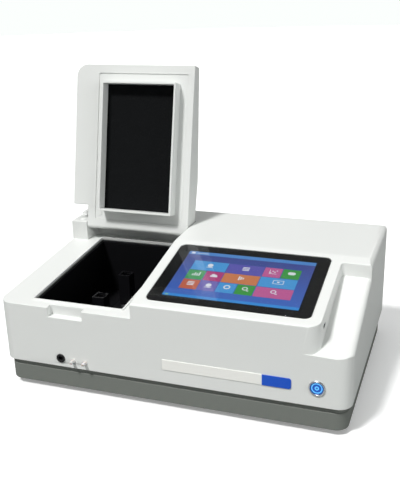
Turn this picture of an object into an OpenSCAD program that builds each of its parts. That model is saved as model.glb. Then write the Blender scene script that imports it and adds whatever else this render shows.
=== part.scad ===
// Double-beam bench spectrophotometer with a tilted touch screen, drawn with
// its sample lid open. X runs left to right, Y front to back, Z up, and the
// feet stand on Z = 0. Every piece is its own module and its own node.

/* [Casing] */
// Width of the upper cover
cover_w = 465; // [420:1:558]
// Depth of the upper cover, front face to rear face
cover_d = 314; // [300:1:377]
// Height of the cover's lower edge above the table
cover_bottom = 38.5; // [36:0.5:50]
// Height of the screen block's front top edge
front_top = 141; // [136:1:150]
// Slope of the screen panel, degrees
panel_slope = 10.8; // [8:0.1:12]
// Height of the flat rear part of the cover
top_z = 171.3; // [168:0.1:178]
// Wall thickness of the cover and the lid
wall = 3; // [2.5:0.1:3.6]
// Radius of the cover's corners seen from above
corner_r = 18; // [14:1:26]
// Radius of the top edge along the front
front_r = 3; // [2:0.5:5]
// Radius of the soft bend between screen panel and top
crease_r = 60; // [30:1:90]
// Radius of the top's right edge
side_r = 10; // [5:0.5:14]
// Radius of the side tray's outer edge
tray_edge_r = 7; // [4:0.5:9]
// Radius of the top edge along the rear
rear_r = 22; // [14:1:28]

/* [Base] */
// Height of the rubber feet
foot_h = 8; // [6:1:12]
// Radius of the rubber feet
foot_r = 12; // [9:1:15]
// How far the base steps in under the cover at the front and sides
base_inset = 4; // [3:0.1:8]
// How far the base steps in under the cover at the rear
base_rear_inset = 12; // [8:1:18]
// Wall and floor thickness of the base
base_wall = 3; // [2.4:0.1:4]
// Height of the recessed band along the base's top edge
band_h = 7.5; // [5:0.5:10]
// Depth of the recessed band
band_d = 1.5; // [0.8:0.1:1.6]
// How far the base's wall reaches up inside the cover
base_lip = 5; // [3:0.5:8]
// Distance of the cover screws from the front and rear faces
screw_inset = 34; // [28:1:44]

/* [Lid seat] */
// X of the step between the lid seat and the screen block
step_x = -41.7; // [-60:0.1:-40]
// Height of the lid seat at the front
deck_front_z = 121.7; // [116:0.1:124]
// Slope of the lid seat, degrees
deck_slope = 4.6; // [3.5:0.1:5]
// Width of the compartment opening
opening_w = 127; // [110:0.5:130]
// Depth of the compartment opening
opening_d = 203; // [180:0.5:205]
// X of the opening's centre
opening_x = -124.2; // [-130:0.1:-120]
// Distance of the opening from the front face
opening_front = 18; // [16:0.5:22]
// Width of the raised rim round the opening
rim_w = 3; // [2:0.5:4]
// Height of the raised rim above the lid seat
rim_h = 1.6; // [0.6:0.1:1.6]
// Width of the finger notch under the lid's front edge
notch_w = 48.5; // [40:0.5:60]
// X of the finger notch's centre
notch_x = -134.3; // [-145:0.1:-128]
// Depth of the finger notch
notch_d = 9; // [7:0.5:12]
// Height of the finger notch
notch_h = 13; // [10:0.5:16]

/* [Lid] */
// Angle the lid swings between shut and open, degrees
lid_open = 107.5; // [95:0.5:108]
// Distance of the hinge axis behind the front face
hinge_d = 232; // [230:0.5:236]
// Height of the hinge axis
hinge_z = 163.6; // [162:0.1:164]
// Distance from the front face to the lid's rear end
lid_len = 243.5; // [241:0.5:246]
// Gap between the shut lid and its seat
lid_gap = 1.2; // [1:0.1:1.6]
// Gap between the lid's sides and the cover
lid_side_gap = 1; // [0.8:0.1:1.5]
// Radius of the lid's rounded hinge end
bead_r = 5.5; // [4:0.1:6]
// Width of the hinge block at the left
ear_w = 25.7; // [20:0.1:28]
// Distance of the hinge block behind the front face
ear_d = 209.5; // [206:0.5:212]
// Height of the hinge block
ear_top = 167.5; // [166:0.5:169]
// Depth of the light-seal frame under the lid
frame_h = 18; // [12:0.5:18]
// Wall of the light-seal frame
frame_wall = 3; // [2:0.1:4]
// Gap between the light-seal frame and the compartment opening
frame_gap = 7.5; // [6.5:0.1:9]
// Thickness of the foam inside the frame
foam_t = 4; // [3:0.5:6]
// Radius of the two hinge pins
pin_r = 3; // [2.5:0.1:4]
// Running clearance of the hinge pins in their bushes
pin_clear = 0.05; // [0.03:0.01:0.1]

/* [Side tray] */
// X of the screen block's right wall above the tray
block_x = 193.5; // [186:0.5:200]
// Height of the tray's front edge
tray_front_z = 105; // [100:0.5:112]
// Height of the tray's back edge
tray_back_z = 150; // [146:0.5:154]
// Depth of the tray from the front face
tray_d = 141; // [130:1:148]
// Radius of the block's corner beside the tray
block_r = 15; // [10:1:20]

/* [Touch screen] */
// Width of the cover glass
glass_w = 207.5; // [195:0.5:210]
// Height of the cover glass along the slope
glass_h = 137.5; // [125:0.5:140]
// X of the screen's centre
screen_x = 76.3; // [72:0.1:80]
// Distance of the glass from the front edge, along the slope
glass_front = 14.6; // [12:0.1:18]
// Thickness of the cover glass
glass_t = 2; // [1.6:0.1:3]
// How far the glass stands above the panel
glass_proud = 0.5; // [0:0.1:1]
// Corner radius of the cover glass
glass_r = 8.5; // [5:0.5:12]
// Width of the lit picture, an 8-inch 16:10 panel
lcd_w = 172.8; // [150:0.1:175]
// Height of the lit picture
lcd_h = 108; // [94:0.1:110]

/* [Front panel] */
// X of the power button
button_x = 192.5; // [180:0.5:200]
// Height of the power button's centre
button_z = 64; // [60:1:70]
// Radius of the power button's metal ring
button_r = 10; // [8:0.5:11]
// Travel of the power button
button_travel = 1.5; // [1:0.1:2.5]
// X of the nameplate strip's left end
plate_x = -1.5; // [-8:0.5:4]
// Length of the nameplate strip
plate_w = 128; // [110:1:130]
// Length of the coloured badge
badge_w = 35.5; // [30:0.5:40]
// Height of strip and badge
plate_h = 14; // [10:0.5:16]
// Height of the strip's lower edge
plate_z = 57.4; // [54:0.1:62]
// X of the tubing port
port_x = -145; // [-155:0.5:-140]
// Height of the tubing port
port_z = 51; // [50:0.5:54]
// Outer radius of the tubing port's grommet
port_r = 6.2; // [5:0.1:7]
// X of the first hose nipple
nipple_x = -127.2; // [-134:0.1:-125]
// Distance between the two hose nipples
nipple_pitch = 17.3; // [14:0.1:20]
// Height of the hose nipples
nipple_z = 49.5; // [49:0.5:54]
// Radius of the hose nipples
nipple_r = 2.2; // [1.8:0.1:2.6]
// How far the hose nipples stand out
nipple_out = 8; // [6:0.5:12]

/* [Sample compartment] */
// Height of the light beams above the table
beam_z = 75; // [72:1:78]
// Distance of the sample beam behind the front face
sample_d = 90; // [84:1:96]
// Distance between the sample and the reference beam
beam_pitch = 84; // [76:1:90]
// X of the two cell holders
cell_x = -128.5; // [-140:0.5:-120]
// Width of a standard cell
cell_w = 12.5; // [10:0.1:13]
// Height of a standard cell
cell_h = 45; // [40:1:50]
// Play of a cell in its holder
cell_play = 0.15; // [0.05:0.05:0.3]
// Wall of the cell holders
holder_wall = 2.4; // [2:0.1:3.5]
// Wall of the compartment liner
liner_wall = 2.5; // [2:0.1:3]
// Radius of the beam windows
window_r = 9; // [7:0.5:11]
// Thickness of the beam windows
window_t = 1.6; // [1:0.1:2]

/* [Optics] */
// Thickness of the optical bed
bed_t = 8; // [6:0.5:10]
// Height of the bed's rubber mounts
bed_mount_h = 11; // [9:0.5:14]
// Right edge of the optical bed
bed_right = 102.5; // [98:0.5:106]
// X of the beam through the entrance slit
entry_x = 12.5; // [6:0.5:18]
// Pitch radius of the grating's toothed sector
sector_r = 36; // [36:1:36]
// Teeth on the full circle of the sector
sector_teeth = 72; // [72:1:72]
// Teeth of the drive pinion
pinion_teeth = 18; // [18:1:18]
// Backlash between sector and pinion
backlash = 0.16; // [0.1:0.02:0.3]
// Radius of the filter wheel
wheel_r = 22; // [20:0.5:24]
// Number of order-sorting filters
filter_count = 6; // [4:1:6]

/* [Cooling and rear panel] */
// Width of the square fan frame
fan_w = 80; // [70:1:80]
// Depth of the fan frame
fan_t = 25; // [20:1:28]
// X of the fan's centre
fan_x = 32.5; // [20:0.5:40]
// Height of the fan's centre
fan_z = 100; // [98:1:104]
// Number of fan blades
fan_blades = 7; // [5:1:9]
// How far the fan guard stands out
guard_out = 5; // [4:0.5:8]
// X of the mains inlet
inlet_x = 162.5; // [150:0.5:170]
// Height of the mains inlet's centre
inlet_z = 84; // [80:1:90]
// Travel of the fuse drawer
drawer_travel = 12; // [8:1:14]

/* [Hidden] */

// Sides of a round piece
round_fn = 48;
// A small extra length that carries a cut clear through a face
over = 1;
// Air left between neighbouring pieces that don't touch
air = 0.3;
// Sliding fit of a piece in its pocket
slip = 0.1;
// Steps along a rounded corner of an outline
arc_steps = 7;

white = [0.93, 0.94, 0.93];
grey = [0.42, 0.44, 0.42];
black = [0.05, 0.05, 0.06];
metal = [0.75, 0.76, 0.78];
green = [0.08, 0.35, 0.2];

half_w = cover_w / 2;
front = -(cover_d + guard_out - nipple_out) / 2;
rear = front + cover_d;
base_top = cover_bottom + base_lip;
base_floor = foot_h + base_wall;
seat_x = -half_w + ear_w;
well_d = hinge_d - 5;
well_drop = 3;
rear_deck_d = lid_len + 2;
rear_deck_lean = 2.4;
bed_z = base_floor + bed_mount_h;
bed_top = bed_z + bed_t;
liner_post_h = 22.5;
liner_z = bed_top + liner_post_h;
liner_top_gap = 3.8;
liner_x0 = opening_x - opening_w / 2 + air;
liner_x1 = opening_x + opening_w / 2 - air;
liner_y0 = front + opening_front + air;
liner_y1 = front + opening_front + opening_d - air;
sample_y = front + sample_d;
reference_y = sample_y + beam_pitch;
holder_out = cell_w + 2 * cell_play + 2 * holder_wall;
holder_base_t = 3;
holder_z = liner_z + liner_wall;
cell_z = holder_z + holder_base_t + 2;
holder_top = cell_z + cell_h;

// ---------------------------------------------------------------- outlines

function unit(v) = v / norm(v);

// The arc that rounds corner p between its neighbours a and b
function corner_arc(a, p, b, r) =
  let (
    u = unit(a - p), v = unit(b - p),
    half = acos(u * v) / 2,
    centre = p + unit(u + v) * (r / sin(half)),
    start = p + u * (r / tan(half)) - centre,
    end = p + v * (r / tan(half)) - centre,
    a0 = atan2(start[1], start[0]),
    turn = atan2(end[1], end[0]) - a0,
    sweep = turn > 180 ? turn - 360 : turn < -180 ? turn + 360 : turn
  )
  [for (i = [0:arc_steps])
    centre + r * [cos(a0 + sweep * i / arc_steps), sin(a0 + sweep * i / arc_steps)]];

// An outline with each corner rounded to its own radius, 0 for a sharp one
function rounded(points, radii) =
  let (n = len(points))
  [for (i = [0:n - 1])
    each (radii[i] > 0
      ? corner_arc(points[(i + n - 1) % n], points[i], points[(i + 1) % n], radii[i])
      : [points[i]])];

// A rectangle from one corner to the other with round corners
function round_rect(low, high, r) =
  rounded([low, [high[0], low[1]], high, [low[0], high[1]]], [r, r, r, r]);

// Height of the lid seat at distance d behind the front face
function deck_z(d) = deck_front_z + d * tan(deck_slope);

// Height of the tray's floor at distance d behind the front face
tray_slope = atan((tray_back_z - tray_front_z) / tray_d);
function tray_z(d) = tray_front_z + d * tan(tray_slope);

// An outline drawn in Y and Z, carried along X
module along_x(x0, x1) {
  translate([x0, 0, 0]) rotate([90, 0, 90]) linear_extrude(x1 - x0) children();
}

// An outline drawn in X and Z, carried along Y
module along_y(y0, y1) {
  translate([0, y1, 0]) rotate([90, 0, 0]) linear_extrude(y1 - y0) children();
}

// An outline drawn in X and Y, carried along Z
module along_z(z0, z1) {
  translate([0, 0, z0]) linear_extrude(z1 - z0) children();
}

// A box from its lowest to its highest corner
module block(low, high) {
  translate(low) cube(high - low);
}

// A round rod along X, Y or Z from a point
module rod_x(at, r, length) {
  translate(at) rotate([0, 90, 0]) cylinder(r = r, h = length, $fn = round_fn);
}
module rod_y(at, r, length) {
  translate(at) rotate([-90, 0, 0]) cylinder(r = r, h = length, $fn = round_fn);
}
module rod_z(at, r, length) {
  translate(at) cylinder(r = r, h = length, $fn = round_fn);
}

// The side outline of cover and lid, drawn inwards by i
module side_outline(i = 0, bottom = cover_bottom) {
  y0 = front + i;
  y1 = rear - i;
  z1 = top_z - i;
  z0 = front_top + i * tan(panel_slope) - i / cos(panel_slope);
  crease_y = y0 + (z1 - z0) / tan(panel_slope);
  polygon(rounded(
    [[y0, bottom], [y0, z0], [crease_y, z1], [y1, z1], [y1, bottom]],
    [0, max(front_r - i, 0), crease_r, rear_r - i, 0]));
}

// What the lid seat, the hinge well and the hinge block leave free above them
module seat_space(i = 0) {
  drop = i / cos(deck_slope);
  sky = top_z + 20;
  well_z = deck_z(well_d) - well_drop - i;
  along_x(-half_w - over, step_x + i)
    polygon([
      [front - over, deck_z(-over) - drop],
      [front + ear_d + i, deck_z(ear_d + i) - drop],
      [front + ear_d + i, sky],
      [front - over, sky]]);
  along_x(seat_x - i, step_x + i)
    polygon([
      [front + ear_d, deck_z(ear_d) - drop],
      [front + well_d - i, deck_z(well_d - i) - drop],
      [front + well_d - i, well_z],
      [front + rear_deck_d + i, well_z],
      [front + rear_deck_d + i, hinge_z],
      [front + rear_deck_d + rear_deck_lean + i, sky],
      [front + ear_d, sky]]);
  along_x(-half_w - over, seat_x - i + over)
    polygon([
      [front + ear_d, ear_top - i],
      [front + rear_deck_d + i, ear_top - i],
      [front + rear_deck_d + i, sky],
      [front + ear_d, sky]]);
}

// What the open tray at the right leaves free above it
module tray_space(i = 0) {
  drop = i / cos(tray_slope);
  sky = top_z + 20;
  intersection() {
    along_z(0, sky)
      polygon(rounded(
        [[block_x - block_r, front - 2 * over],
         [half_w + 2 * over, front - 2 * over],
         [half_w + 2 * over, front + tray_d + i],
         [block_x - i, front + tray_d + i],
         [block_x - i, front + i],
         [block_x - block_r, front + i]],
        [0, 0, 0, 4 + i, block_r - i - 0.01, 0]));
    along_x(0, half_w + 2 * over)
      polygon([
        [front - 2 * over, tray_z(-2 * over) - drop],
        [front + tray_d + 2 * i, tray_z(tray_d + 2 * i) - drop],
        [front + tray_d + 2 * i, sky],
        [front - 2 * over, sky]]);
  }
}

// The finger notch in the seat's front edge
module notch_space(i = 0) {
  z1 = deck_front_z + 2;
  block([notch_x - notch_w / 2 - i, front - over, deck_front_z - notch_h - i],
        [notch_x + notch_w / 2 + i, front + notch_d + i, z1]);
}

// The cover as a full solid, drawn inwards by i
module cover_solid(i = 0) {
  low = cover_bottom - (i > 0 ? over : 0);
  difference() {
    intersection() {
      along_x(-half_w, half_w) side_outline(i, low);
      along_z(low, top_z + over)
        polygon(round_rect([-half_w + i, front + i], [half_w - i, rear - i], corner_r - i));
    }
    seat_space(i);
    tray_space(i);
    notch_space(i);
    translate([half_w, 0, top_z]) edge_space(side_r, i, front - over, rear + over);
    intersection() {
      translate([half_w, front, tray_front_z]) rotate([tray_slope, 0, 0])
        edge_space(tray_edge_r, i, -tray_edge_r, 2 * tray_d);
      block([0, front - 2 * over, 0], [half_w + 2 * over, front + tray_d + i, top_z]);
    }
  }
}

// What rounding an outer edge takes away. The edge runs along Y through the origin, below
// and to the left of it is the solid, and i is how far the solid's faces were drawn inwards
module edge_space(r, i, y0, y1) {
  along_y(y0, y1) translate([-r, -r]) difference() {
    square(r + over);
    circle(r = r - i, $fn = round_fn);
  }
}

// Places its children on the screen panel: x across, y up the slope, z out
module on_panel() {
  translate([screen_x, front, front_top]) rotate([panel_slope, 0, 0]) children();
}

// Places its children on the lid seat: y up the slope from the front, z out
module on_deck() {
  translate([0, front, deck_front_z]) rotate([deck_slope, 0, 0]) children();
}

// ------------------------------------------------------------------ casing

boss_x = half_w - 9.7;
boss_r = 7;
boss_top = 88;
cover_screw_r = 2;
cover_screw_at = [for (x = [-boss_x, boss_x], y = [front + screw_inset, rear - screw_inset]) [x, y]];
fan_open_r = fan_w / 2 - 3;
fan_hole = fan_w / 2 - 4.25;
fan_screw_r = 1.8;
inlet_w = 27;
inlet_h = 20;
inlet_flange_w = 50;
inlet_flange_h = 26;
port_w = 31;
port_h = 12.5;
ports_x = 102.5;
ports_z = 84;
usb_w = 12;
usb_h = 11;
usb_x = 130.5;
side_usb_d = 31;
side_usb_z = 129.8;
side_usb_w = 13;
side_usb_h = 5.6;

module upper_cover() color(white) {
  difference() {
    union() {
      difference() {
        cover_solid(0);
        cover_solid(wall);
      }
      // raised rim round the compartment opening
      on_deck() translate([0, 0, -over])
        linear_extrude(rim_h + over) difference() {
          rim_outline(rim_w);
          rim_outline(0);
        }
      // screw bosses against the side walls
      for (at = cover_screw_at)
        rod_z([at[0], at[1], cover_bottom], boss_r - 0.2, boss_top - cover_bottom);
      for (side = [-1, 1], at = cover_screw_at)
        if (side * at[0] > 0)
          block([side > 0 ? at[0] : -half_w + wall - 0.5, at[1] - 2, cover_bottom],
                [side > 0 ? half_w - wall + 0.5 : at[0], at[1] + 2, boss_top]);
      // hinge pin bosses behind the two walls beside the lid
      intersection() {
        union() {
          rod_x([seat_x - 8, front + hinge_d, hinge_z], pin_r + 3, 8 - 0.5);
          rod_x([step_x + 0.5, front + hinge_d, hinge_z], pin_r + 3, 8);
        }
        cover_solid(1);
      }
      // return flange that closes the gap behind the base
      block([-half_w + corner_r, rear - base_rear_inset + air, cover_bottom],
            [half_w - corner_r, rear - wall + 0.5, cover_bottom + wall]);
    }
    // compartment opening
    on_deck() translate([0, 0, -3 * wall]) linear_extrude(6 * wall) rim_outline(0);
    // pocket and window of the touch screen
    on_panel() {
      translate([0, 0, glass_proud - glass_t]) linear_extrude(glass_t + 5)
        glass_outline(slip * 2);
      translate([0, 0, -3 * wall]) linear_extrude(6 * wall) glass_outline(-6);
      // room for the picture panel
      translate([-lcd_w / 2 - lcd_border - air, lcd_y - lcd_h / 2 - lcd_border - air, -3 * wall])
        cube([lcd_w + 2 * (lcd_border + air), lcd_h + 2 * (lcd_border + air),
              3 * wall + glass_proud - glass_t]);
    }
    // hinge pins
    rod_x([seat_x - 9, front + hinge_d, hinge_z], pin_r, 20);
    rod_x([step_x - 10, front + hinge_d, hinge_z], pin_r, 20);
    // pilot holes of the cover screws
    for (at = cover_screw_at)
      rod_z([at[0], at[1], cover_bottom - over], cover_screw_r, 22);
    // front panel: power switch, tubing port and hose nipples
    rod_y([button_x, front - over, button_z], button_r - 1.2, wall + 2 * over);
    rod_y([port_x, front - over, port_z], port_r - 1.4, wall + 2 * over);
    for (k = [0, 1])
      rod_y([nipple_x + k * nipple_pitch, front - over, nipple_z], nipple_r, wall + 2 * over);
    // data port in the wall beside the tray
    block([block_x - wall - over, front + side_usb_d - side_usb_w / 2, side_usb_z - side_usb_h / 2],
          [block_x + over, front + side_usb_d + side_usb_w / 2, side_usb_z + side_usb_h / 2]);
    // rear panel: fan, mains inlet and data ports
    rod_y([fan_x, rear - wall - over, fan_z], fan_open_r, wall + 2 * over);
    for (x = [-1, 1], z = [-1, 1])
      rod_y([fan_x + x * fan_hole, rear - wall - over, fan_z + z * fan_hole],
            fan_screw_r, wall + 2 * over);
    block([inlet_x - inlet_w / 2, rear - wall - over, inlet_z - inlet_h / 2],
          [inlet_x + inlet_w / 2, rear + over, inlet_z + inlet_h / 2]);
    block([ports_x - port_w / 2, rear - wall - over, ports_z - port_h / 2],
          [ports_x + port_w / 2, rear + over, ports_z + port_h / 2]);
    block([usb_x - usb_w / 2, rear - wall - over, ports_z - usb_h / 2],
          [usb_x + usb_w / 2, rear + over, ports_z + usb_h / 2]);
    // ear plug hole
    rod_z([ear_plug_x, ear_plug_y, ear_top - wall - over], ear_plug_r, wall + 2 * over);
  }
}

// The compartment opening on the lid seat, grown by g
module rim_outline(g) {
  low = [opening_x - opening_w / 2 - g, opening_front / cos(deck_slope) - g];
  high = [opening_x + opening_w / 2 + g, (opening_front + opening_d) / cos(deck_slope) + g];
  polygon(round_rect(low, high, 1.5 + g));
}

// The touch screen's outline, grown by g
module glass_outline(g) {
  polygon(round_rect([-glass_w / 2 - g, glass_front - g],
                     [glass_w / 2 + g, glass_front + glass_h + g], glass_r + g));
}

base_x = half_w - base_inset;
base_y0 = front + base_inset;
base_y1 = rear - base_rear_inset;
base_r = corner_r - 2;
foot_x = half_w - 40;
foot_at = [for (x = [-foot_x, foot_x], y = [base_y0 + 34, base_y1 - 34]) [x, y]];
vent_slot_w = 4;
vent_slot_l = 46;
vent_count = 9;

module base_tray() color(grey) {
  difference() {
    union() {
      difference() {
        union() {
          along_z(foot_h, cover_bottom - band_h)
            polygon(round_rect([-base_x, base_y0], [base_x, base_y1], base_r));
          along_z(foot_h, base_top)
            polygon(round_rect([-base_x + band_d, base_y0 + band_d], [base_x - band_d, base_y1 - band_d],
                               base_r - band_d));
        }
        along_z(base_floor, base_top + over)
          polygon(round_rect([-base_x + base_wall, base_y0 + base_wall],
                             [base_x - base_wall, base_y1 - base_wall], base_r - base_wall));
      }
      for (at = cover_screw_at)
        rod_z([at[0], at[1], foot_h], boss_r - 1.5, cover_bottom - slip - foot_h);
    }
    // the cover's bosses and ribs come down beside the lip
    for (at = cover_screw_at)
      block([at[0] - boss_r - air, at[1] - boss_r - air, cover_bottom - slip],
            [at[0] + boss_r + air, at[1] + boss_r + air, base_top + over]);
    // screw passages and their counterbores
    for (at = cover_screw_at) {
      rod_z([at[0], at[1], foot_h - over], cover_screw_r + 0.3, base_top);
      rod_z([at[0], at[1], foot_h - over], cover_screw_r + 2.2, 5 + over);
    }
    for (at = foot_at) rod_z([at[0], at[1], foot_h - over], 1.8, base_wall + 2 * over);
    // ventilation slots under the lamp house
    for (k = [0:vent_count - 1])
      along_z(foot_h - over, base_floor + over)
        polygon(round_rect([-20 + k * 12, rear - 84], [-20 + k * 12 + vent_slot_w, rear - 84 + vent_slot_l],
                           vent_slot_w / 2 - 0.01));
    // the front fittings pass above the lip
    for (x = [port_x, nipple_x, nipple_x + nipple_pitch])
      block([x - port_r - 2, base_y0 - over, cover_bottom + slip],
            [x + port_r + 2, base_y0 + base_wall + over, base_top + over]);
  }
}

module rubber_feet() color(black) {
  for (at = foot_at)
    translate([at[0], at[1], 0]) difference() {
      rotate_extrude($fn = round_fn)
        polygon([[0, 0], [foot_r - 2, 0], [foot_r - 0.6, 1], [foot_r, 3], [foot_r, foot_h], [0, foot_h]]);
      translate([0, 0, -over]) cylinder(r = 1.9, h = foot_h + 2 * over, $fn = round_fn);
      translate([0, 0, -over]) cylinder(r = 4.2, h = 4 + over, $fn = round_fn);
    }
}

module foot_screws() color(metal) {
  for (at = foot_at) screw([at[0], at[1], 1.5], 3.9, 2.4, 1.7, base_floor - 1.5 - air);
}

module cover_screws() color(metal) {
  for (at = cover_screw_at)
    screw([at[0], at[1], foot_h + 1.2], cover_screw_r + 2, 3, cover_screw_r - 0.05, cover_bottom - foot_h + 14);
}

// A pan-head screw that points up, its head's lowest face at the point
module screw(at, head_r, head_h, shank_r, length) {
  translate(at) difference() {
    union() {
      cylinder(r = head_r, h = head_h, $fn = round_fn);
      cylinder(r = shank_r, h = length, $fn = round_fn);
    }
    for (turn = [0, 90]) rotate(turn)
      translate([-head_r * 0.6, -0.45, -over]) cube([head_r * 1.2, 0.9, over + head_h * 0.5]);
  }
}

ear_plug_x = -half_w + ear_w * 0.6;
ear_plug_y = front + ear_d + 13;
ear_plug_r = 4.5;

module ear_plug() color(white) {
  translate([ear_plug_x, ear_plug_y, ear_top]) {
    translate([0, 0, -wall]) cylinder(r = ear_plug_r - slip, h = wall, $fn = round_fn);
    rotate_extrude($fn = round_fn)
      polygon([[0, 0], [7, 0], [6.6, 0.9], [5.4, 1.9], [3.4, 2.6], [0, 2.9]]);
  }
}

// ------------------------------------------------------- sample compartment

module compartment_liner() color(black) {
  difference() {
    intersection() {
      along_z(liner_z, top_z)
        polygon(round_rect([liner_x0, liner_y0], [liner_x1, liner_y1], 2));
      below_seat();
    }
    block([liner_x0 + liner_wall, liner_y0 + liner_wall, liner_z + liner_wall],
          [liner_x1 - liner_wall, liner_y1 - liner_wall, top_z]);
    for (y = [sample_y, reference_y]) {
      rod_x([liner_x0 - over, y, beam_z], window_r - 1.5, liner_x1 - liner_x0 + 2 * over);
      rod_x([liner_x0 - over, y, beam_z], window_r, window_t + over);
      rod_x([liner_x1 - window_t, y, beam_z], window_r, window_t + over);
    }
    rod_y([port_x, liner_y0 - over, port_liner_z], port_r - 1.4, liner_wall + 2 * over);
    for (at = holder_screw_at) rod_z([at[0], at[1], liner_z - over], 1.5, liner_wall + 2 * over);
  }
}

port_liner_z = liner_z + 12;

// Everything below the liner's sloping top edge
module below_seat() {
  along_x(-half_w, half_w)
    polygon([[front, 0], [rear, 0], [rear, deck_z(cover_d) - liner_top_gap], [front, deck_z(0) - liner_top_gap]]);
}

holder_base_x = 30;
holder_base_y = 44;
holder_screw_dy = holder_base_y / 2 - 6;
holder_screw_at = [for (y = [sample_y, reference_y], s = [-1, 1]) [cell_x, y + s * holder_screw_dy]];

module cell_holder(y) {
  well = cell_w / 2 + cell_play;
  difference() {
    union() {
      block([cell_x - holder_base_x / 2, y - holder_base_y / 2, holder_z],
            [cell_x + holder_base_x / 2, y + holder_base_y / 2, holder_z + holder_base_t]);
      block([cell_x - holder_out / 2, y - holder_out / 2, holder_z],
            [cell_x + holder_out / 2, y + holder_out / 2, holder_top]);
    }
    // the cell's well, with room for a spring at its back
    block([cell_x - well, y - well, cell_z], [cell_x + well, y + well, holder_top + over]);
    block([cell_x - 4, y + well - slip, cell_z + 4], [cell_x + 4, y + well + spring_room, holder_top + over]);
    block([cell_x + well - slip, y - 4, cell_z + 24],
          [cell_x + well + spring_room, y + 4, holder_top + over]);
    // the beam's windows
    block([cell_x - holder_out, y - 2.5, beam_z - 6], [cell_x + holder_out, y + 2.5, beam_z + 6]);
    for (s = [-1, 1]) rod_z([cell_x, y + s * holder_screw_dy, holder_z - over], 1.7, holder_base_t + 2 * over);
  }
}

spring_room = 1.3;

module sample_cell_holder() color(black) cell_holder(sample_y);
module reference_cell_holder() color(black) cell_holder(reference_y);

// A bowed leaf spring, flat side against the well's wall
module leaf_spring(length) {
  t = 0.3;
  bow = spring_room - t - 0.15;
  mid = length / 2;
  outline = concat(
    [for (k = [0:8]) [k * length / 8, bow * (1 - pow((k * length / 8 - mid) / mid, 2))]],
    [for (k = [8:-1:0]) [k * length / 8, bow * (1 - pow((k * length / 8 - mid) / mid, 2)) + t]]);
  translate([-2.5, 0, 0]) rotate([90, 0, 90]) linear_extrude(5)
    polygon([for (p = outline) [-p[1], p[0]]]);
}

module cell_springs() color(metal) {
  well = cell_w / 2 + cell_play;
  for (y = [sample_y, reference_y]) {
    translate([cell_x, y + well + spring_room - slip, cell_z + 6]) leaf_spring(cell_h - 9);
    translate([cell_x + well + spring_room - slip, y, cell_z + 26]) rotate(-90) leaf_spring(cell_h - 29);
  }
}

module holder_screws() color(metal) {
  for (at = holder_screw_at)
    translate([0, 0, 2 * (holder_z + holder_base_t) + 2]) mirror([0, 0, 1])
      screw([at[0], at[1], holder_z + holder_base_t], 2.8, 2, 1.45, 2 + holder_base_t + liner_wall);
}

module beam_windows() color([0.8, 0.9, 0.95, 0.5]) {
  for (y = [sample_y, reference_y]) {
    rod_x([liner_x0, y, beam_z], window_r - slip, window_t);
    rod_x([liner_x1 - window_t, y, beam_z], window_r - slip, window_t);
  }
}

// --------------------------------------------------------------------- lid

// Turns its children from the shut to the open place
module opened() {
  translate([0, front + hinge_d, hinge_z]) rotate([-lid_open, 0, 0])
    translate([0, -front - hinge_d, -hinge_z]) children();
}

lid_inset = 2.5;
lid_x0 = -half_w + lid_inset;
lid_x1 = step_x - lid_side_gap;
lid_ear_x = seat_x + lid_side_gap;
lid_ear_d = ear_d - lid_side_gap;
function lid_z(d) = deck_z(d) + lid_gap;

// The lid as a full solid in its shut place, drawn inwards by i
module lid_solid(i = 0) {
  lift = i / cos(deck_slope);
  difference() {
    intersection() {
      along_x(lid_x0 + i, lid_x1 - i) intersection() {
        side_outline(i);
        polygon(rounded(
          [[front + i, lid_z(i) + lift], [front + lid_len - i, lid_z(lid_len - i) + lift],
           [front + lid_len - i, top_z - i], [front + i, top_z - i]],
          [0, bead_r - min(i, bead_r - 1), 8 - i, 0]));
      }
      along_z(deck_front_z - over, top_z + over)
        polygon(round_rect([lid_x0 + i, front + i], [half_w - i, rear - i], corner_r - i));
    }
    // room for the hinge block
    block([-half_w - over, front + lid_ear_d - i, deck_front_z],
          [lid_ear_x + i, rear, top_z + over]);
  }
}

panel_x0 = -half_w + 39.5;
panel_x1 = lid_x1 - 9.5;
panel_d0 = 13;
panel_d1 = 229;
panel_t = 2;
panel_sunk = 1.2;
hinge_boss_r = 7;
hinge_boss_l = 10;
bush_r = pin_r + 1.8;

// Places its children on the shut lid's inner face: y from the front, z into the lid
module on_lid() {
  translate([0, front, lid_z(0)]) rotate([deck_slope, 0, 0]) children();
}

module lid_shell() color(white) opened() {
  difference() {
    union() {
      difference() {
        lid_solid(0);
        lid_solid(wall);
      }
      rod_x([lid_ear_x + 0.5, front + hinge_d, hinge_z], hinge_boss_r, hinge_boss_l);
      rod_x([lid_x1 - 0.5 - hinge_boss_l, front + hinge_d, hinge_z], hinge_boss_r, hinge_boss_l);
      // four posts that the inner panel is screwed to
      for (at = lid_post_at)
        on_lid() translate([at[0], at[1], panel_sunk + panel_t + slip])
          cylinder(r = 3, h = lid_post_top(at[1]), $fn = round_fn);
    }
    on_lid() translate([0, 0, -over]) linear_extrude(wall + 2 * over)
      polygon(round_rect([panel_x0 - slip, panel_d0 - slip], [panel_x1 + slip, panel_d1 + slip], 2));
    rod_x([lid_x0, front + hinge_d, hinge_z], bush_r, lid_x1 - lid_x0 + over);
  }
}

lid_post_at = [for (x = [panel_x0 + 6, panel_x1 - 6], d = [panel_d0 + 14, panel_d1 - 40]) [x, d]];
// Posts end inside the lid's outer wall
function lid_post_top(d) = min(
  front_top + d * tan(panel_slope), top_z) - lid_z(d) - panel_sunk - panel_t - wall / 2;

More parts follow.
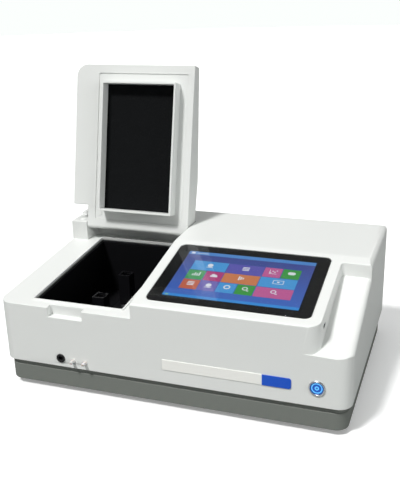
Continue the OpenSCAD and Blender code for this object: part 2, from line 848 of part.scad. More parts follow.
module lid_panel() color(white) opened() on_lid() {
  difference() {
    translate([0, 0, panel_sunk]) linear_extrude(panel_t)
      polygon(round_rect([panel_x0, panel_d0], [panel_x1, panel_d1], 1.8));
    for (x = [frame_x0 + 8, frame_x1 - 8], y = [frame_y0 + 8, frame_y1 - 8])
      translate([x, y, panel_sunk - over]) cylinder(r = 1.2, h = panel_t + 2 * over, $fn = round_fn);
  }
}

frame_x0 = opening_x - opening_w / 2 + frame_gap;
frame_right_gap = 3.2;
frame_rear_gap = 5.9;
frame_x1 = opening_x + opening_w / 2 - frame_right_gap;
frame_y0 = opening_front + frame_gap;
frame_y1 = opening_front + opening_d - frame_rear_gap;
frame_r = 2;

module lid_seal_frame() color(white) opened() on_lid() {
  translate([0, 0, -frame_h]) linear_extrude(frame_h + panel_sunk) difference() {
    polygon(round_rect([frame_x0, frame_y0], [frame_x1, frame_y1], frame_r));
    polygon(round_rect([frame_x0 + frame_wall, frame_y0 + frame_wall],
                       [frame_x1 - frame_wall, frame_y1 - frame_wall], frame_r / 2));
  }
}

module lid_foam() color(black) opened() on_lid() {
  translate([0, 0, panel_sunk - foam_t]) linear_extrude(foam_t)
    polygon(round_rect([frame_x0 + frame_wall + slip, frame_y0 + frame_wall + slip],
                       [frame_x1 - frame_wall - slip, frame_y1 - frame_wall - slip], frame_r / 2));
}

bumper_r = 4;
bumper_h = 0.5;

module lid_bumper() color(white) opened() on_lid() {
  translate([panel_x0 + 7, panel_d1 - 9, panel_sunk - bumper_h])
    cylinder(r = bumper_r, h = bumper_h, $fn = round_fn);
}

module hinge_bushes() color([0.85, 0.8, 0.6]) opened() {
  for (x = [lid_ear_x + slip, lid_x1 - slip - hinge_boss_l])
    difference() {
      rod_x([x, front + hinge_d, hinge_z], bush_r - 0.02, hinge_boss_l);
      rod_x([x - over, front + hinge_d, hinge_z], pin_r + pin_clear, hinge_boss_l + 2 * over);
    }
}

module hinge_pins() color(metal) {
  rod_x([seat_x - 7, front + hinge_d, hinge_z], pin_r, 7 + lid_side_gap + hinge_boss_l - 1);
  rod_x([lid_x1 - hinge_boss_l + 1, front + hinge_d, hinge_z], pin_r, hinge_boss_l - 1 + lid_side_gap + 7);
}

// ------------------------------------------------------------ touch screen

lcd_t = 5;
lcd_y = glass_front + glass_h / 2;
lcd_border = 5;

module screen_glass() color(black) on_panel()
  translate([0, 0, glass_proud - glass_t]) linear_extrude(glass_t) glass_outline(0);

module lcd_panel() color([0.16, 0.32, 0.75]) on_panel()
  translate([-lcd_w / 2 - lcd_border, lcd_y - lcd_h / 2 - lcd_border, glass_proud - glass_t - slip - lcd_t])
    cube([lcd_w + 2 * lcd_border, lcd_h + 2 * lcd_border, lcd_t]);

bracket_z = glass_proud - glass_t - slip - lcd_t - 0.2 - 1.5;
bracket_post_at = [for (x = [-1, 1], y = [-1, 1])
  [x * (glass_w / 2 - 1), lcd_y + y * (glass_h / 2 - 3)]];

module display_bracket() color(metal) on_panel() {
  difference() {
    translate([0, 0, bracket_z]) linear_extrude(1.5)
      polygon(round_rect([-glass_w / 2 - 4, glass_front], [glass_w / 2 + 4, glass_front + glass_h], 4));
    translate([-lcd_w / 2 + 10, lcd_y - lcd_h / 2 + 10, bracket_z - over])
      cube([lcd_w - 20, lcd_h - 20, 1.5 + 2 * over]);
  }
  for (at = bracket_post_at)
    translate([at[0], at[1], bracket_z + 1.5 - 0.2])
      cylinder(r = 2.4, h = -wall - slip - bracket_z - 1.5 + 0.2, $fn = round_fn);
}

board_t = 1.6;

module display_board() color(green) on_panel() translate([0, 0, bracket_z - 5 - board_t]) {
  translate([-60, lcd_y - 35, 0]) cube([120, 70, board_t]);
  for (p = [[-40, -20, 16], [0, 4, 20], [34, -22, 12]])
    translate([p[0], lcd_y + p[1], -2]) cube([p[2], p[2], 2]);
  for (x = [-56, 56], y = [-31, 31])
    translate([x, lcd_y + y, board_t]) cylinder(r = 2.5, h = 5 - slip, $fn = round_fn);
}

// ------------------------------------------------------------- front panel

plate_t = 0.8;

module nameplate_strip() color([0.82, 0.83, 0.82])
  block([plate_x, front - plate_t, plate_z], [plate_x + plate_w, front, plate_z + plate_h]);

module badge_plate() color([0.06, 0.3, 0.75])
  along_y(front - plate_t - 0.4, front) polygon(rounded(
    [[plate_x + plate_w, plate_z], [plate_x + plate_w + badge_w, plate_z],
     [plate_x + plate_w + badge_w, plate_z + plate_h], [plate_x + plate_w, plate_z + plate_h]],
    [0, 3, 3, 0]));

button_body_r = button_r - 1.2 - slip;
cap_r = button_r - 2.4;
cap_out = 0.8;
bezel_out = 2.2;
bezel_l = 24;
plunger_r = 2;
switch_l = 12;

// Rings and discs about the button's axis; y is measured from the front face
module button_ring(y, length, r, hole) {
  difference() {
    rod_y([button_x, front + y, button_z], r, length);
    if (hole > 0) rod_y([button_x, front + y - over, button_z], hole, length + 2 * over);
  }
}

module power_bezel() color(metal) {
  difference() {
    translate([button_x, front, button_z]) rotate([90, 0, 0]) rotate_extrude($fn = round_fn)
      polygon([[cap_r + air, -bezel_l], [button_body_r, -bezel_l], [button_body_r, 0], [button_r, 0],
               [button_r, bezel_out * 0.5], [button_r - 0.8, bezel_out], [cap_r + air + 0.5, bezel_out],
               [cap_r + air, bezel_out - 0.6]]);
  }
}

module power_cap() color([0.1, 0.3, 0.85]) {
  button_ring(-cap_out, cap_out + 8, cap_r, 0);
  button_ring(8 - slip, bezel_l - 6.5, plunger_r, 0);
}

module power_light_rings() color([0.6, 0.85, 1]) {
  button_ring(-cap_out - 0.2, 0.2, cap_r - 1, cap_r - 2.2);
  button_ring(-cap_out - 0.2, 0.2, 2.6, 1.3);
}

module power_switch_body() color(black) {
  difference() {
    rod_y([button_x, front + bezel_l, button_z], button_body_r, switch_l);
    rod_y([button_x, front + bezel_l - over, button_z], plunger_r + air, over + 6);
  }
  for (x = [-4, 4], z = [-3, 3])
    block([button_x + x - 1.4, front + bezel_l + switch_l - slip, button_z + z - 0.3],
          [button_x + x + 1.4, front + bezel_l + switch_l + 6, button_z + z + 0.3]);
}

module power_nut() color(metal) {
  difference() {
    translate([button_x, front + wall, button_z]) rotate([-90, 0, 0]) cylinder(r = 12.5, h = 3, $fn = 6);
    rod_y([button_x, front + wall - over, button_z], button_body_r + 0.03, 3 + 2 * over);
  }
}

module port_grommet() color(black) {
  hole = port_r - 3;
  translate([port_x, front, port_z]) rotate([90, 0, 0]) rotate_extrude($fn = round_fn)
    polygon([[hole, 1.2], [hole + 0.5, 1.7], [port_r - 0.6, 1.7], [port_r, 1.1], [port_r, 0],
             [port_r - 1.5, 0], [port_r - 1.5, -wall], [port_r - 0.6, -wall], [port_r - 0.6, -wall - 1],
             [hole, -wall - 1]]);
}

module hose_nipples() color([0.86, 0.82, 0.8]) {
  bore = nipple_r - 1;
  for (k = [0, 1])
    translate([nipple_x + k * nipple_pitch, front, nipple_z]) rotate([90, 0, 0]) rotate_extrude($fn = round_fn)
      polygon([[bore, -12], [nipple_r - slip / 2, -12], [nipple_r - slip / 2, 0], [nipple_r + 1, 0], [nipple_r + 1, 1],
               [nipple_r, 1], [nipple_r, nipple_out - 1], [nipple_r - 0.6, nipple_out], [bore, nipple_out]]);
}

module side_usb_port() color(metal) {
  difference() {
    block([block_x - 16, front + side_usb_d - side_usb_w / 2 + slip, side_usb_z - side_usb_h / 2 + slip],
          [block_x - 0.4, front + side_usb_d + side_usb_w / 2 - slip, side_usb_z + side_usb_h / 2 - slip]);
    block([block_x - 12, front + side_usb_d - side_usb_w / 2 + 0.7, side_usb_z - side_usb_h / 2 + 0.7],
          [block_x, front + side_usb_d + side_usb_w / 2 - 0.7, side_usb_z + side_usb_h / 2 - 0.7]);
  }
  block([block_x - 12.5, front + side_usb_d - side_usb_w / 2 + 1.4, side_usb_z + 0.1],
        [block_x - 2, front + side_usb_d + side_usb_w / 2 - 1.4, side_usb_z + 1.5]);
}

// ------------------------------------------------------------------ optics

bed_x0 = -half_w + 22;
bed_y0 = front + 22;
bed_y1 = rear - 36;
bed_mount_at = [for (x = [bed_x0 + 14, bed_right - 14], y = [bed_y0 + 14, bed_y1 - 14]) [x, y]];
liner_post_at = [for (x = [liner_x0 + 16, liner_x1 - 16], y = [liner_y0 + 18, liner_y1 - 18]) [x, y]];

module optical_bed() color(metal) {
  difference() {
    union() {
      along_z(bed_z, bed_top) polygon(round_rect([bed_x0, bed_y0], [bed_right, bed_y1], 6));
      for (at = liner_post_at) rod_z([at[0], at[1], bed_top - slip], 6, liner_z - bed_top + slip);
    }
    for (at = bed_mount_at) rod_z([at[0], at[1], bed_z - over], 2.2, bed_t + 2 * over);
  }
}

module bed_mounts() color(black) {
  for (at = bed_mount_at)
    difference() {
      translate([at[0], at[1], base_floor]) rotate_extrude($fn = round_fn)
        polygon([[0, 0], [9, 0], [9, 2], [7, bed_mount_h / 2], [9, bed_mount_h - 2], [9, bed_mount_h], [0, bed_mount_h]]);
      rod_z([at[0], at[1], base_floor + 2], 2, bed_mount_h);
    }
}

source_y = front + 258;
mirror_at = [entry_x, source_y];
d2_x = entry_x + 52;
halogen_x = entry_x - 36;
house_x0 = halogen_x - 17;
house_x1 = d2_x + 24;
house_y0 = source_y - 21;
house_y1 = source_y + 21;
house_top = 116;
house_t = 1.5;

module lamp_house() color(metal) {
  difference() {
    block([house_x0, house_y0, bed_top], [house_x1, house_y1, house_top]);
    block([house_x0 + house_t, house_y0 + house_t, bed_top - over],
          [house_x1 - house_t, house_y1 - house_t, house_top - house_t]);
    // the beam's way out
    rod_y([entry_x, house_y0 - over, beam_z], 9, house_t + 2 * over);
    // cooling louvres towards the fan
    for (k = [0:6])
      block([d2_x - 18, house_y1 - house_t - over, bed_top + 14 + k * 9],
            [d2_x + 18, house_y1 + over, bed_top + 18 + k * 9]);
    for (k = [0:6])
      block([halogen_x - 8, house_y1 - house_t - over, bed_top + 14 + k * 9],
            [halogen_x + 14, house_y1 + over, bed_top + 18 + k * 9]);
  }
}

module deuterium_lamp() color([0.85, 0.88, 0.9]) {
  translate([d2_x, source_y, bed_top]) {
    cylinder(r = 17, h = 4, $fn = round_fn);
    rotate_extrude($fn = round_fn)
      polygon([[0, 3.9], [11, 3.9], [11, 18], [14, 22], [14, 62], [11, 68], [6, 71], [0, 72]]);
  }
}

module halogen_lamp() color([0.9, 0.9, 0.85]) {
  translate([halogen_x, source_y, bed_top]) {
    cylinder(r = 9, h = 22, $fn = round_fn);
    translate([0, 0, 21.9]) rotate_extrude($fn = round_fn)
      polygon([[0, 0], [5.5, 0], [6, 4], [6, 26], [4.5, 31], [1.5, 33], [0, 33.4]]);
  }
}

mirror_half = 13;
mirror_z0 = bed_top + 27;

module source_mirror() color(metal) {
  translate([mirror_at[0], mirror_at[1], 0]) {
    translate([0, 0, mirror_z0]) difference() {
      cylinder(r = 7, h = 5, $fn = round_fn);
      translate([0, 0, -over]) cylinder(r = 1.5 + 0.03, h = 4 + over, $fn = round_fn);
    }
    rotate(45) translate([-mirror_half, 0, mirror_z0 + 4.9])
      cube([2 * mirror_half, 2.5, beam_z - mirror_z0 - 4.9 + mirror_half]);
  }
}

module mirror_motor() color(grey) {
  rod_z([mirror_at[0], mirror_at[1], bed_top], 10, 24);
  rod_z([mirror_at[0], mirror_at[1], bed_top + 23.9], 1.5, mirror_z0 + 3 - bed_top - 23.9);
}

case_x0 = -21.5;
case_x1 = 96.5;
case_y0 = front + 60;
case_y1 = front + 214;
case_t = 3;
case_top = 104;
wheel_y = case_y1 + 5;
wheel_pitch_r = 14;
wheel_z = beam_z - wheel_pitch_r;
filter_r = 5;
wheel_t = 2.5;

module filter_wheel() color(black) {
  difference() {
    union() {
      rod_y([entry_x, wheel_y, wheel_z], wheel_r, wheel_t);
      rod_y([entry_x, wheel_y + wheel_t - slip, wheel_z], 4, 3);
    }
    for (k = [0:filter_count - 1]) {
      a = 90 + 360 * k / filter_count;
      rod_y([entry_x + wheel_pitch_r * cos(a), wheel_y - over, wheel_z + wheel_pitch_r * sin(a)],
            filter_r, wheel_t + 2 * over);
    }
    rod_y([entry_x, wheel_y - over, wheel_z], 1.5 + 0.03, wheel_t + 4 + over);
  }
}

module filter_motor() color(grey) {
  rod_y([entry_x, wheel_y + wheel_t + 4, wheel_z], 10, 9);
  rod_y([entry_x, wheel_y + 0.5, wheel_z], 1.5, wheel_t + 4);
  block([entry_x - 12, wheel_y + wheel_t + 7, bed_top], [entry_x + 12, wheel_y + wheel_t + 9, wheel_z]);
}

exit_y = [sample_y, reference_y];
slit_gap = 0.6;

module monochromator_case() color([0.2, 0.2, 0.22]) {
  // shoulder and stub shaft that the grating table turns on
  rod_z([grating_at[0], grating_at[1], bed_top + case_t - slip], 7, table_gap - slip);
  rod_z([grating_at[0], grating_at[1], bed_top + case_t - slip], table_shaft_r, table_gap + 9);
  difference() {
    block([case_x0, case_y0, bed_top], [case_x1, case_y1, case_top]);
    block([case_x0 + case_t, case_y0 + case_t, bed_top + case_t],
          [case_x1 - case_t, case_y1 - case_t, case_top + over]);
    rod_y([entry_x, case_y1 - case_t - over, beam_z], 6, case_t + 2 * over);
    rod_x([case_x0 - over, exit_y[1] - 30, beam_z], 6, case_t + 2 * over);
    for (at = case_screw_at)
      rod_z([at[0], at[1], bed_top - over], 1.7, case_t + 2 * over);
  }
}

case_screw_at = [for (x = [case_x0 + 8, case_x1 - 8], y = [case_y0 + 8, case_y1 - 8]) [x, y]];

module monochromator_lid() color([0.2, 0.2, 0.22]) {
  block([case_x0, case_y0, case_top], [case_x1, case_y1, case_top + 2]);
  block([case_x0 + case_t + air, case_y0 + case_t + air, case_top - 3],
        [case_x1 - case_t - air, case_y0 + case_t + 3, case_top + 0.1]);
  block([case_x0 + case_t + air, case_y1 - case_t - 3, case_top - 3],
        [case_x1 - case_t - air, case_y1 - case_t - air, case_top + 0.1]);
}

// A square plate with a fine slit, its thickness along Y
module slit_plate() {
  difference() {
    translate([-9, 0, -9]) cube([18, 1, 18]);
    translate([-slit_gap / 2, -over, -5]) cube([slit_gap, 1 + 2 * over, 10]);
  }
}

module slit_plates() color(metal) {
  translate([entry_x, case_y1 + slip, beam_z]) slit_plate();
  translate([case_x0 - slip, exit_y[1] - 30, beam_z]) rotate(90) slit_plate();
}

mirror_disc_r = 17;

// A round concave mirror on a post, facing +Y
module concave_mirror() {
  difference() {
    rod_y([0, -5, beam_z], mirror_disc_r, 7);
    translate([0, 2 + 118, beam_z]) sphere(r = 120, $fn = 160);
  }
  block([-8, -5, bed_top + case_t], [8, 0, beam_z - mirror_disc_r + 2]);
}

module concave_mirrors() color([0.8, 0.82, 0.85]) {
  for (x = [entry_x + 6, entry_x + 44])
    translate([x, case_y0 + case_t + 8, 0]) concave_mirror();
}

grating_at = [entry_x + 18, case_y1 - 54];
gear_z = bed_top + 56;
gear_t = 5;
grating_w = 30;

// One flank-to-flank tooth of module 1 gearing, pitch radius pr
function involute(base, t) = base * [cos(t) + t * PI / 180 * sin(t), sin(t) - t * PI / 180 * cos(t)];
function tooth_outline(pr, teeth) =
  let (
    base = pr * cos(20),
    outer = pr + pr * 2 / teeth * 0.95,
    root = pr - pr * 2 / teeth * 1.2,
    t_pitch = sqrt(pow(pr / base, 2) - 1) * 180 / PI,
    t_outer = sqrt(pow(outer / base, 2) - 1) * 180 / PI,
    p_pitch = involute(base, t_pitch),
    half = 90 / teeth - backlash / 2 / pr * 180 / PI,
    shift = half + atan2(p_pitch[1], p_pitch[0]),
    flank = [for (k = [0:5]) let (p = involute(base, t_outer * k / 5),
      a = atan2(p[1], p[0]) - shift) norm(p) * [cos(a), sin(a)]],
    foot = min(root, base) - 0.3,
    foot_a = atan2(flank[0][1], flank[0][0])
  )
  concat([foot * [cos(foot_a), sin(foot_a)]], flank,
    [for (k = [5:-1:0]) [flank[k][0], -flank[k][1]]],
    [foot * [cos(foot_a), -sin(foot_a)]]);

// Teeth from first to last round a centre, the first tooth at angle start
module teeth(pr, count, first, last, start) {
  for (k = [first:last]) rotate(start + k * 360 / count)
    polygon(tooth_outline(pr, count));
}

sector_half = 9;
sector_root = sector_r - sector_r * 2 / sector_teeth * 1.2;
pinion_r = sector_r * pinion_teeth / sector_teeth;
pinion_root = pinion_r - sector_r * 2 / sector_teeth * 1.2;
pinion_at = [grating_at[0] + sector_r + pinion_r, grating_at[1]];
table_gap = 4;
table_z = bed_top + case_t + table_gap;
table_r = 15;
table_t = 4;
table_shaft_r = 2.5;
table_turn = -70;
column_r = 6;

module grating_mount() color([0.6, 0.6, 0.62]) {
  translate([grating_at[0], grating_at[1], 0]) {
    difference() {
      union() {
        translate([0, 0, table_z]) cylinder(r = table_r, h = table_t, $fn = round_fn);
        rotate(table_turn) translate([-grating_w / 2 - 2, 2, table_z + table_t - slip])
          cube([grating_w + 4, 4, 40]);
        translate([0, 0, table_z + table_t - slip])
          cylinder(r = column_r, h = gear_z - table_z - table_t + 2 * slip, $fn = round_fn);
      }
      rotate(table_turn) translate([-grating_w / 2 - 1, -10, table_z + 8]) cube([grating_w + 2, 12, 34]);
      translate([0, 0, table_z - over]) cylinder(r = table_shaft_r + pin_clear, h = 11, $fn = round_fn);
    }
    translate([0, 0, gear_z]) linear_extrude(gear_t) union() {
      circle(r = 9, $fn = round_fn);
      difference() {
        polygon(concat([[0, 0]], [for (k = [-12:12])
          sector_root * [cos(k * (sector_half + 0.5) * 5 / 12), sin(k * (sector_half + 0.5) * 5 / 12)]]));
        circle(r = 4, $fn = round_fn);
      }
      teeth(sector_r, sector_teeth, -sector_half, sector_half, 0);
    }
  }
}

module grating() color([0.5, 0.6, 0.75]) {
  translate([grating_at[0], grating_at[1], 0])
    rotate(table_turn) translate([-grating_w / 2, -4, table_z + 10]) cube([grating_w, 6, grating_w]);
}

module drive_pinion() color([0.8, 0.7, 0.4]) {
  translate([pinion_at[0], pinion_at[1], gear_z - 1]) difference() {
    linear_extrude(gear_t + 2) union() {
      circle(r = pinion_root, $fn = round_fn);
      teeth(pinion_r, pinion_teeth, 0, pinion_teeth - 1, 180 + 180 / pinion_teeth);
    }
    translate([0, 0, -over]) cylinder(r = 2.5 + 0.03, h = gear_t + 2 + 2 * over, $fn = round_fn);
  }
}

module stepper_motor() color(grey) {
  z0 = bed_top + case_t;
  difference() {
    block([pinion_at[0] - 14, pinion_at[1] - 14, z0], [pinion_at[0] + 14, pinion_at[1] + 14, z0 + 32]);
    for (x = [-1, 1], y = [-1, 1])
      rod_z([pinion_at[0] + 11 * x, pinion_at[1] + 11 * y, z0 + 28], 1.2, 4 + over);
  }
  rod_z([pinion_at[0], pinion_at[1], z0 + 31.9], 2.5, gear_z + gear_t - z0 - 31.9);
}

module beam_mirror(at, turn) {
  translate([at[0], at[1], 0]) rotate(turn) {
    block([-10, 0, bed_top + 24], [10, 3, beam_z + 10]);
    block([-6, 3 - 0.01, bed_top], [6, 9, bed_top + 34]);
  }
}

module beam_mirrors() color([0.8, 0.82, 0.85]) {
  beam_mirror([-44, reference_y - 30], 45);
  beam_mirror([-44, sample_y], -45);
  beam_mirror([-44, reference_y + 8], -135);
}

detector_l = 14;

module detectors() color(black) {
  for (y = [sample_y, reference_y]) {
    rod_x([liner_x0 - air - detector_l, y, beam_z], 11, detector_l);
    block([liner_x0 - air - detector_l - 3, y - 17, bed_top], [liner_x0 - air - detector_l, y + 17, beam_z + 20]);
  }
}

// -------------------------------------------------------------- electrics

psu_x0 = 120.5;
psu_x1 = 208.5;
psu_y0 = front + 150;
psu_y1 = rear - 46;
psu_top = 56;

module power_supply() color(metal) {
  difference() {
    block([psu_x0, psu_y0, base_floor + 2], [psu_x1, psu_y1, psu_top]);
    block([psu_x0 + 1.2, psu_y0 + 1.2, base_floor + 2 + 12], [psu_x1 - 1.2, psu_y1 - 1.2, psu_top - 1.2]);
    for (x = [0:6], y = [0:7])
      rod_z([psu_x0 + 14 + x * 10, psu_y0 + 20 + y * 11, psu_top - 2], 2.5, 3);
  }
  for (x = [psu_x0 + 8, psu_x1 - 8], y = [psu_y0 + 8, psu_y1 - 8])
    rod_z([x, y, base_floor], 3, 2.1);
}

board_x0 = 114.5;
board_x1 = 216.5;
board_y0 = front + 22;
board_y1 = front + 140;
board_z = base_floor + 6;

module main_board() color(green) {
  block([board_x0, board_y0, board_z], [board_x1, board_y1, board_z + board_t]);
  for (x = [board_x0 + 6, board_x1 - 6], y = [board_y0 + 6, board_y1 - 6])
    rod_z([x, y, base_floor], 3, board_z - base_floor + 0.1);
  for (p = [[14, 14, 22, 3], [50, 20, 14, 2], [20, 60, 10, 8], [40, 62, 10, 8], [68, 58, 24, 5], [72, 16, 16, 10]])
    translate([board_x0 + p[0], board_y0 + p[1], board_z + board_t - 0.1]) cube([p[2], p[2], p[3]]);
}

fan_y1 = rear - wall;
fan_y0 = fan_y1 - fan_t;
fan_hub_r = fan_w * 0.24;
fan_blade_r = fan_open_r - 1.5;

module fan_frame() color(black) {
  difference() {
    along_y(fan_y0, fan_y1) polygon(round_rect(
      [fan_x - fan_w / 2, fan_z - fan_w / 2], [fan_x + fan_w / 2, fan_z + fan_w / 2], 4));
    rod_y([fan_x, fan_y0 - over, fan_z], fan_open_r, fan_t + 2 * over);
    for (x = [-1, 1], z = [-1, 1])
      rod_y([fan_x + x * fan_hole, fan_y0 - over, fan_z + z * fan_hole], fan_screw_r + 0.3, fan_t + 2 * over);
  }
  // motor carrier and its four struts
  rod_y([fan_x, fan_y0, fan_z], fan_hub_r, 4);
  rod_y([fan_x, fan_y0, fan_z], 2, fan_t - 6);
  for (a = [45:90:315])
    translate([fan_x, fan_y0, fan_z]) rotate([0, a, 0]) translate([0, 0, -1.5])
      cube([fan_open_r + 0.5, 3, 3]);
}

module fan_rotor() color(black) {
  difference() {
    rod_y([fan_x, fan_y0 + 5, fan_z], fan_hub_r, fan_t - 7);
    rod_y([fan_x, fan_y0 + 4, fan_z], 2.05, fan_t - 8.5);
  }
  for (k = [0:fan_blades - 1])
    translate([fan_x, fan_y0 + 5 + (fan_t - 7) / 2, fan_z]) rotate([0, 360 * k / fan_blades, 0])
      translate([fan_hub_r - 0.8, 0, 0]) rotate([38, 0, 0])
        translate([0, -9.5, -0.7]) cube([fan_blade_r - fan_hub_r + 0.6, 19, 1.4]);
}

guard_wire = 1.2;
guard_leg = 1.05;
guard_rings = 4;
function guard_ring_r(k) = fan_open_r * k / guard_rings - 1;

module fan_guard() color(metal) {
  y = rear + guard_out - guard_wire;
  for (k = [1:guard_rings])
    translate([fan_x, y, fan_z]) rotate([90, 0, 0]) rotate_extrude($fn = 64)
      translate([guard_ring_r(k), 0]) circle(r = guard_wire, $fn = 16);
  // four legs that run out to the corner screws
  for (x = [-1, 1], z = [-1, 1]) {
    translate([fan_x, y, fan_z]) rotate([0, -atan2(z, x), 0]) translate([guard_ring_r(1), 0, 0])
      rotate([0, 90, 0]) cylinder(r = guard_leg, h = fan_hole * sqrt(2) - guard_ring_r(1), $fn = 16);
    difference() {
      rod_y([fan_x + x * fan_hole, rear, fan_z + z * fan_hole], 4, guard_out - guard_wire);
      rod_y([fan_x + x * fan_hole, rear - over, fan_z + z * fan_hole], 1.6, guard_out - guard_wire - 1);
    }
  }
}

drawer_w = 16;
drawer_h = 5;
drawer_z = inlet_z + 6.2;

module mains_inlet() color(black) {
  difference() {
    union() {
      along_y(rear, rear + 2.5) polygon(round_rect(
        [inlet_x - inlet_flange_w / 2, inlet_z - inlet_flange_h / 2],
        [inlet_x + inlet_flange_w / 2, inlet_z + inlet_flange_h / 2], 3));
      block([inlet_x - inlet_w / 2 + slip, rear - 26, inlet_z - inlet_h / 2 + slip],
            [inlet_x + inlet_w / 2 - slip, rear + 0.1, inlet_z + inlet_h / 2 - slip]);
    }
    // the plug's socket
    along_y(rear - 18, rear + 2.5 + over) polygon(rounded(
      [[inlet_x - 11, inlet_z - 8.6], [inlet_x + 11, inlet_z - 8.6], [inlet_x + 11, inlet_z - 0.5],
       [inlet_x + 7.5, inlet_z + 3], [inlet_x - 7.5, inlet_z + 3], [inlet_x - 11, inlet_z - 0.5]],
      [1, 1, 1, 1, 1, 1]));
    // the fuse drawer's slot
    block([inlet_x - drawer_w / 2 - slip, rear - 18, drawer_z - drawer_h / 2 - slip],
          [inlet_x + drawer_w / 2 + slip, rear + 2.5 + over, drawer_z + drawer_h / 2 + slip]);
    for (x = [-20, 20]) rod_y([inlet_x + x, rear - over, inlet_z], 1.6, 3.5 + over);
  }
  for (p = [[-7, -4.5], [0, -1], [7, -4.5]])
    block([inlet_x + p[0] - 1, rear - 18.1, inlet_z + p[1] - 2], [inlet_x + p[0] + 1, rear - 4, inlet_z + p[1] + 2]);
}

module fuse_drawer() color(black) {
  y1 = rear + 2.5;
  difference() {
    union() {
      block([inlet_x - drawer_w / 2, rear - 16, drawer_z - drawer_h / 2],
            [inlet_x + drawer_w / 2, y1 + 0.8, drawer_z + drawer_h / 2]);
    }
    block([inlet_x - drawer_w / 2 + 2, rear - 12, drawer_z - drawer_h / 2 + 1.2],
          [inlet_x + drawer_w / 2 - 2, y1 - 4, drawer_z + drawer_h]);
  }
}

module data_ports() color(metal) {
  // nine-pin serial port
  difference() {
    union() {
      along_y(rear, rear + 0.9) polygon(round_rect([ports_x - 15.4, ports_z - 6.2], [ports_x + 15.4, ports_z + 6.2], 1));
      along_y(rear - 10, rear + 3.9) polygon(rounded(
        [[ports_x - 8, ports_z - 4], [ports_x + 8, ports_z - 4], [ports_x + 9.2, ports_z + 4], [ports_x - 9.2, ports_z + 4]],
        [1, 1, 1, 1]));
    }
    along_y(rear - 6, rear + 4 + over) polygon(rounded(
      [[ports_x - 7.3, ports_z - 3.3], [ports_x + 7.3, ports_z - 3.3],
       [ports_x + 8.4, ports_z + 3.3], [ports_x - 8.4, ports_z + 3.3]],
      [0.8, 0.8, 0.8, 0.8]));
  }
  // square printer port
  difference() {
    block([usb_x - usb_w / 2 + slip, rear - 14, ports_z - usb_h / 2 + slip],
          [usb_x + usb_w / 2 - slip, rear + 0.6, ports_z + usb_h / 2 - slip]);
    block([usb_x - 4.6, rear - 10, ports_z - 4.2], [usb_x + 4.6, rear + over, ports_z + 4.2]);
  }
  block([usb_x - 2.8, rear - 10.1, ports_z - 1.6], [usb_x + 2.8, rear - 1, ports_z + 1.6]);
}

upper_cover();
base_tray();
rubber_feet();
foot_screws();
cover_screws();
compartment_liner();
sample_cell_holder();
reference_cell_holder();
cell_springs();
holder_screws();
beam_windows();
lid_shell();
lid_panel();
lid_seal_frame();
lid_foam();
lid_bumper();
hinge_bushes();
hinge_pins();
ear_plug();
screen_glass();
lcd_panel();
display_bracket();
display_board();
nameplate_strip();
badge_plate();
power_bezel();
power_cap();
power_light_rings();
power_switch_body();
power_nut();
port_grommet();
hose_nipples();
side_usb_port();
optical_bed();
bed_mounts();
lamp_house();
deuterium_lamp();
halogen_lamp();
source_mirror();
mirror_motor();
filter_wheel();
filter_motor();
monochromator_case();
monochromator_lid();
slit_plates();
concave_mirrors();
grating_mount();
grating();
drive_pinion();
stepper_motor();
beam_mirrors();
detectors();
power_supply();
main_board();
fan_frame();
fan_rotor();
fan_guard();
mains_inlet();
fuse_drawer();
data_ports();
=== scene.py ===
from math import cos, radians, sin

import bpy
from mathutils import Matrix, Vector, noise


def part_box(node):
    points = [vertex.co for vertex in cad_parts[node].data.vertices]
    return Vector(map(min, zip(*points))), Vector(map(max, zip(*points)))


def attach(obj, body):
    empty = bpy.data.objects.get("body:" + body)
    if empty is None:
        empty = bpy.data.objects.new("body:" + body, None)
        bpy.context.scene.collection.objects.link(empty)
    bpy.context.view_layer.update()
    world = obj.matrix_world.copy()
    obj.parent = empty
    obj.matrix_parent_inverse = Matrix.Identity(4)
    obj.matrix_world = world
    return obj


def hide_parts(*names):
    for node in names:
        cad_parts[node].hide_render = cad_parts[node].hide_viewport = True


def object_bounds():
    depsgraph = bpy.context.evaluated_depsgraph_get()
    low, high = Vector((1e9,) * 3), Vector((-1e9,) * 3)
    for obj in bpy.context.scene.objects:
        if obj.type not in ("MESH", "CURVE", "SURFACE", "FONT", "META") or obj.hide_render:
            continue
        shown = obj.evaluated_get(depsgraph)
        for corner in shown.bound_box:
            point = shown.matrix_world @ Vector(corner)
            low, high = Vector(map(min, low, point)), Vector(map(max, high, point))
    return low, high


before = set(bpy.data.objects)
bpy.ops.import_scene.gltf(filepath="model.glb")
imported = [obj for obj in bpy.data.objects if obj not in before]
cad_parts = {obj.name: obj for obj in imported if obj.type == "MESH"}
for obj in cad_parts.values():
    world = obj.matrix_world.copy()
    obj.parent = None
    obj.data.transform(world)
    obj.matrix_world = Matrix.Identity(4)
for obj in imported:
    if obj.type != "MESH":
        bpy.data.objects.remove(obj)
cad_box = [list(corner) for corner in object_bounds()]


# ---------------------------------------------------------------- stand and lamps
# The instrument is seen from above its front right corner, in soft studio light. A distant
# lamp high at the front left gives the shade under the cover; two broad lamps and a weak
# sky fill in the rest.
eye = Vector((0.3327, -0.9201, 0.5177))
heading = radians(20.10)
tilt = radians(-20.03)
roll = radians(-1.60)
lens_mm = 54.36
film_width_mm = 36
forward = Vector((-sin(heading) * cos(tilt), cos(heading) * cos(tilt), sin(tilt)))
level_right = Vector((cos(heading), sin(heading), 0))
level_up = level_right.cross(forward)
right = level_right * cos(roll) + level_up * sin(roll)
up = level_up * cos(roll) - level_right * sin(roll)
turned = Matrix((right, up, -forward)).transposed().to_4x4()

